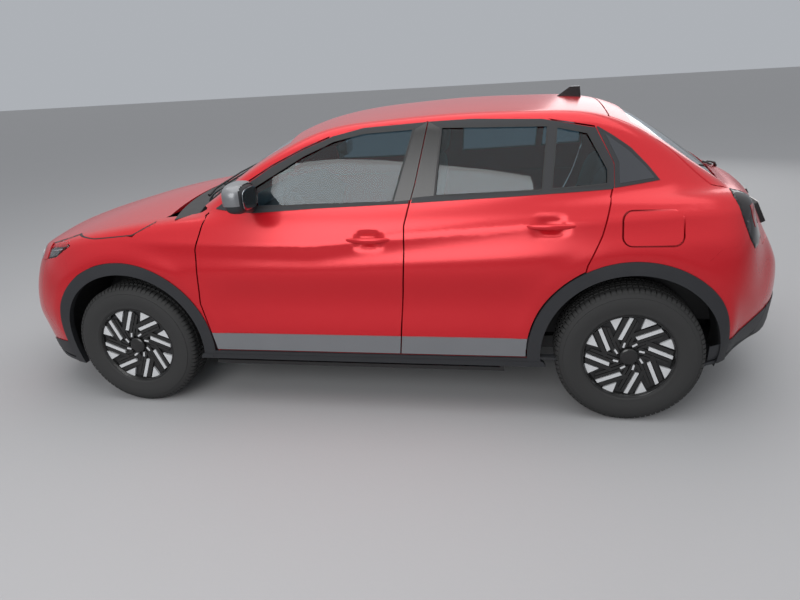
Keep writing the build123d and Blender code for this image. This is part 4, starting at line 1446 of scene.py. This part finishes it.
class SUV_OT_wheels(bpy.types.Operator):
    """Rims and pinwheel covers with silver bars."""

    bl_idname = "suv.wheels"
    bl_label = "Wheels"

    def execute(self, context):
        settings = context.scene.suv_wheels
        radius = settings.cover_r
        for name in wheel_names:
            place = wheel_frame(name)
            body = f"wheel_{name}"
            rim = [(0.0345, -0.060), (0.074, -0.060), (0.074, 0.020), (0.195, 0.040), (0.195, -0.090),
                   (0.212, -0.097), (0.2165, -0.092), (0.2027, -0.083), (0.2027, 0.083), (0.2165, 0.092),
                   (0.213, 0.097), (0.208, 0.095), (0.2045, 0.088), (0.195, 0.070), (0.195, 0.060),
                   (0.0345, 0.056)]
            solid(f"rim_{name}", lathe(rim, place, 96), 35, gloss_black(), body, [body])
            dish = [(0.001, 0.064), (0.06, 0.066), (0.16, 0.069), (radius - 0.004, 0.071), (radius, 0.076),
                    (radius - 0.0005, 0.085), (radius - 0.003, 0.0855), (radius - 0.0045, 0.083),
                    (radius - 0.006, 0.0735), (0.16, 0.0715), (0.06, 0.069), (0.001, 0.067)]
            solid(f"cover_{name}", lathe(dish, place, 96), 35, black_plastic_and_seam_shade(), body)
            self.bars(name, place, body, settings.groups, radius)
            cap = [(0.0008, 0.0925), (0.030, 0.0920), (0.037, 0.0900), (0.041, 0.0865), (0.042, 0.080),
                   (0.042, 0.066), (0.0008, 0.066)]
            solid(f"hub_cap_{name}", lathe(cap, place, 64), 30, gloss_black(), body)
        return {"FINISHED"}

    def bars(self, name, place, body, groups, radius):
        """Silver and black bars of one group, repeated round the cover."""
        inner = Vector((0.406, 0.216))
        along = Vector((0.9245, -0.381))
        across = Vector((0.381, 0.9245))

        def strip(start, end, low, high, skew=0.0):
            corners = [(start, low), (end, low), (end + skew, high), (start + skew, high)]
            return [(inner + along * s + across * o) * radius for s, o in corners]

        silver = [
            flat_bar(strip(0.02, 0.590, -0.042, 0.040, -0.02), 0.072, 0.0845),
            flat_bar([(0.640 * radius, 0.322 * radius), (0.955 * radius, 0.200 * radius),
                      (0.925 * radius, 0.337 * radius), (0.870 * radius, 0.449 * radius)], 0.072, 0.0845),
            flat_bar([(0.330 * radius, 0.085 * radius), (0.340 * radius, 0.125 * radius),
                      (0.225 * radius, 0.150 * radius), (0.215 * radius, 0.112 * radius)], 0.070, 0.0840),
        ]
        black = [
            flat_bar(strip(-0.10, 0.560, 0.062, 0.150, -0.03), 0.070, 0.0815),
            flat_bar(strip(-0.20, 0.570, -0.128, -0.064, 0.02), 0.070, 0.0815),
            flat_bar(strip(-0.16, 0.530, -0.205, -0.142, 0.03), 0.070, 0.0800),
            flat_bar(strip(-0.05, 0.200, -0.285, -0.222, 0.05), 0.070, 0.0785),
        ]
        turned_copies(f"silver_bars_{name}", joined(*silver), place, groups, silver_paint(), body)
        turned_copies(f"black_bars_{name}", joined(*black), place, groups, gloss_black(), body)


class SUV_OT_tyres(bpy.types.Operator):
    """Tyres with tread blocks."""

    bl_idname = "suv.tyres"
    bl_label = "Tyres"

    def execute(self, context):
        pitches = context.scene.suv_wheels.pitches
        half = [(0.2045, 0.088), (0.2130, 0.0945), (0.2200, 0.0985), (0.2235, 0.1010), (0.2290, 0.1012),
                (0.2400, 0.1035), (0.2580, 0.1068), (0.2760, 0.1075), (0.2930, 0.1058), (0.3010, 0.1040),
                (0.3022, 0.1010), (0.3160, 0.0960), (0.3260, 0.0890), (0.3325, 0.0800), (0.3335, 0.0565),
                (0.3335, 0.0560), (0.3290, 0.0540), (0.3290, 0.0470), (0.3335, 0.0450), (0.3345, 0.0110),
                (0.3290, 0.0090)]
        profile = half + [(radius, -depth) for radius, depth in reversed(half)]
        for name in wheel_names:
            place = wheel_frame(name)
            body = f"wheel_{name}"
            solid(f"tyre_body_{name}", lathe(profile, place, 112), 32, tyre_rubber(), body,
                  [f"tyre_{name}"])
            blocks = joined(*self.pitch(pitches))
            turned_copies(f"tread_{name}", blocks, place, pitches, tyre_rubber(), body, 30)
        return {"FINISHED"}

    def pitch(self, pitches):
        """The blocks of one row across the tread."""
        step = 2 * pi / pitches
        lug = [(0.3406, 0.0580), (0.3400, 0.0760), (0.3362, 0.0845), (0.3290, 0.0910), (0.3215, 0.0948),
               (0.3195, 0.0905), (0.3270, 0.0800), (0.3300, 0.0600)]
        rib = [(0.3408, 0.0140), (0.3408, 0.0430), (0.3320, 0.0440), (0.3320, 0.0130)]
        middle = [(0.3410, -0.0085), (0.3410, 0.0085), (0.3320, 0.0100), (0.3320, -0.0100)]
        rows = []
        for sign in (1, -1):
            rows.append((lug, sign, 0.10 * step, 0.86 * step, 0.06 * step))
            rows.append((rib, sign, 0.05 * step, 0.80 * step, -0.35 * step * sign))
        rows.append((middle, 1, 0.1 * step, 0.90 * step, 0.12 * step))
        blocks = []
        for section, sign, low, high, skew in rows:
            verts = []
            for angle in (low, high):
                for radius, depth in section:
                    turn = angle + skew * (depth - 0.05) / 0.05
                    verts.append(Vector((radius * cos(turn), radius * sin(turn), sign * depth)))
            blocks.append((verts, prism_faces(len(section))))
        return blocks


class SUV_OT_mirrors(bpy.types.Operator):
    """Door mirrors: black shell, silver cap, glass and foot."""

    bl_idname = "suv.mirrors"
    bl_label = "Mirrors"

    def execute(self, context):
        for side, sign in sides.items():
            body = f"door_front_{side}"
            centre = Vector((-0.488, sign * 0.925, 1.150))
            shell = pillow(centre, (0.054, 0.102, 0.068), 3.0, 22, 36)
            solid(f"mirror_shell_{side}", shell, 60, trim_plastic(), body, [f"mirror_{side}"])
            cover = pillow(centre + Vector((-0.003, 0, 0.006)), (0.056, 0.105, 0.067), 3.0, 26, 40)
            self.cap(f"mirror_cap_{side}", *cover, centre, body)
            glass = pillow(centre + Vector((0.051, 0, 0.000)), (0.005, 0.084, 0.050), 3.4, 10, 32)
            solid(f"mirror_glass_{side}", glass, 40, mirror_face(), body)
            foot = [(-0.500, sign * 0.795, 1.082), (-0.490, sign * 0.830, 1.085),
                    (-0.482, sign * 0.870, 1.095), (-0.478, sign * 0.900, 1.115)]
            stem = tube(foot, [0.030, 0.024, 0.022, 0.026], 20)
            solid(f"mirror_foot_{side}", stem, 50, trim_plastic(), body)
        return {"FINISHED"}

    def cap(self, name, verts, faces, centre, body):
        """The upper, forward part of a rounded shell."""
        lower_edge, rear_edge = -0.016, 0.036
        kept = []
        for face in faces:
            middle = sum((verts[k] for k in face), Vector()) / len(face) - centre
            if middle.z > lower_edge and middle.x < rear_edge:
                kept.append(face)
        mesh = smooth_mesh(name, verts, kept, 60, True)
        work = bmesh.new()
        work.from_mesh(mesh)
        loose = [v for v in work.verts if not v.link_faces]
        bmesh.ops.delete(work, geom=loose, context="VERTS")
        work.to_mesh(mesh)
        work.free()
        thicken(shown(name, mesh, cap_silver(), body), 1)


class SUV_OT_handles(bpy.types.Operator):
    """Body-coloured door handles over their cups."""

    bl_idname = "suv.handles"
    bl_label = "Door handles"

    def execute(self, context):
        half_length, half_depth, half_height, bow_out = 0.118, 0.012, 0.0135, 0.016
        for row, (x_mid, z_mid) in handle_places.items():
            for side in sides:
                view = side_view[side]
                reach = half_length / mm
                ends = [self.side_place(view, (x_mid + way * reach) * mm, z_mid * mm) for way in (-1, 1)]
                middle = (ends[0] + ends[1]) / 2
                along = (ends[1] - ends[0]).normalized()
                outward = Vector((0, sides[side], 0))
                verts, faces = pillow((0, 0, 0), (half_length, half_depth, half_height), 2.3, 16, 48)
                placed = []
                for vert in verts:
                    bow = 1 - (vert.x / half_length) ** 2
                    away = outward * (vert.y + bow_out * bow)
                    placed.append(middle + along * vert.x + away + Vector((0, 0, vert.z)))
                solid(f"handle_{row}_{side}", (placed, faces), 60, body_paint(), f"door_{row}_{side}")
        return {"FINISHED"}

    def side_place(self, view, x, z):
        """A place on the side as it would be without the handle's cup."""
        above, below = (Vector(skin.seen(view, x, z + rise)[0]) for rise in (0.058, -0.058))
        return (above + below) / 2


class SUV_OT_wipers(bpy.types.Operator):
    """Wiper arms and blades on the windscreen and the rear window."""

    bl_idname = "suv.wipers"
    bl_label = "Wipers"

    def execute(self, context):
        for name, foot, tip in (("wiper_left", (-0.905, -0.42), (-0.745, 0.02)),
                                ("wiper_right", (-0.925, 0.10), (-0.765, 0.50))):
            solid(name, self.arm("top", foot, tip), 40, black_plastic_and_seam_shade(), "root", recalculate=False)
        rear_arm = self.arm("rear", (0.0, 1.075), (-0.30, 1.14))
        solid("wiper_rear", rear_arm, 40, black_plastic_and_seam_shade(), "tailgate", recalculate=False)
        return {"FINISHED"}

    def arm(self, view, foot, tip):
        """An arm that rises from its foot, and the blade across its tip."""
        def lifted(share, lift):
            spot, normal = skin.seen(view, *(foot[k] + (tip[k] - foot[k]) * share for k in (0, 1)))
            return Vector(spot + normal * lift * mm)

        rod = [lifted(share, lift) for share, lift in ((0, 4), (0.15, 18), (0.6, 20), (1, 14))]
        blade = [lifted(share, 7) for share in np.linspace(0.28, 1.32, 10)]
        return joined(tube(rod, [9 * mm, 6 * mm, 4.5 * mm, 4 * mm], 10), tube(blade, 5 * mm, 8))


class SUV_OT_cabin(bpy.types.Operator):
    """Seats, dashboard and steering wheel."""

    bl_idname = "suv.cabin"
    bl_label = "Cabin"

    def execute(self, context):
        for side, sign in sides.items():
            y = sign * 0.37
            self.seat(f"front_seat_{side}", [
                ((-0.045, y, 0.545), (0.26, 0.20, 0.075), 3),
                ((-0.045, y - 0.215, 0.565), (0.25, 0.045, 0.085), 3),
                ((-0.045, y + 0.215, 0.565), (0.25, 0.045, 0.085), 3),
                ((0.232, y, 0.860), (0.070, 0.19, 0.30), 13),
                ((0.212, y - 0.205, 0.850), (0.075, 0.045, 0.27), 13),
                ((0.212, y + 0.205, 0.850), (0.075, 0.045, 0.27), 13),
                ((0.318, y, 1.235), (0.045, 0.125, 0.080), 10),
            ])
        self.seat("rear_bench", [
            ((0.965, 0, 0.640), (0.25, 0.53, 0.070), 2),
            ((1.215, -0.28, 0.885), (0.075, 0.26, 0.245), 14),
            ((1.215, 0.28, 0.885), (0.075, 0.26, 0.245), 14),
            ((1.292, -0.30, 1.165), (0.040, 0.125, 0.065), 12),
            ((1.292, 0.30, 1.165), (0.040, 0.125, 0.065), 12),
        ], ["seats"])
        for name in ("dashboard", "steering_wheel"):
            finished_node(name, soft_plastic())
        return {"FINISHED"}

    def seat(self, name, pads, stands_for=()):
        """A seat of crowned cushions."""
        shape = joined(*[pillow(centre, half, 3.2, 16, 28, turn) for centre, half, turn in pads])
        piece = solid(name, shape, 80, seat_cloth(), "root", stands_for, recalculate=False)


class SUV_OT_chassis(bpy.types.Operator):
    """Finishes of the parts under the body."""

    bl_idname = "suv.chassis"
    bl_label = "Chassis"

    def execute(self, context):
        for name in ("front_suspension", "rear_axle", "exhaust", "floor_pan"):
            finished_node(name, dark_steel())
        for name in ("engine_block", "knuckle_l", "knuckle_r"):
            finished_node(name, cast_metal())
        finished_node("fuel_tank", black_plastic_and_seam_shade())
        return {"FINISHED"}


operators = (
    SUV_OT_stage, SUV_OT_panels, SUV_OT_glazing, SUV_OT_trims, SUV_OT_lamps, SUV_OT_nose, SUV_OT_wheels,
    SUV_OT_tyres, SUV_OT_mirrors, SUV_OT_handles, SUV_OT_wipers, SUV_OT_cabin, SUV_OT_chassis,
)


class SUV_PT_car(bpy.types.Panel):
    """Settings and pieces of the car."""

    bl_idname = "SUV_PT_car"
    bl_label = "Compact SUV"
    bl_space_type = "VIEW_3D"
    bl_region_type = "UI"
    bl_category = "Car"

    def draw(self, context):
        scene = context.scene
        for settings in (scene.suv_finish, scene.suv_wheels, scene.suv_stage):
            box = self.layout.box()
            for name in settings.__annotations__:
                box.prop(settings, name)
        for operator in operators:
            self.layout.operator(operator.bl_idname)


classes = (SUV_PG_finish, SUV_PG_wheels, SUV_PG_stage, *operators, SUV_PT_car)


def register():
    """Adds the classes and the settings."""
    for item in classes:
        bpy.utils.register_class(item)
    bpy.types.Scene.suv_finish = PointerProperty(type=SUV_PG_finish)
    bpy.types.Scene.suv_wheels = PointerProperty(type=SUV_PG_wheels)
    bpy.types.Scene.suv_stage = PointerProperty(type=SUV_PG_stage)


def unregister():
    """Takes the settings and the classes away."""
    del bpy.types.Scene.suv_finish
    del bpy.types.Scene.suv_wheels
    del bpy.types.Scene.suv_stage
    for item in reversed(classes):
        bpy.utils.unregister_class(item)


def main():
    """Makes every piece in order."""
    register()
    bpy.ops.suv.stage()
    bpy.ops.suv.panels()
    bpy.ops.suv.glazing()
    bpy.ops.suv.trims()
    bpy.ops.suv.lamps()
    bpy.ops.suv.nose()
    bpy.ops.suv.wheels()
    bpy.ops.suv.tyres()
    bpy.ops.suv.mirrors()
    bpy.ops.suv.handles()
    bpy.ops.suv.wipers()
    bpy.ops.suv.cabin()
    bpy.ops.suv.chassis()


if __name__ == "__main__":
    main()
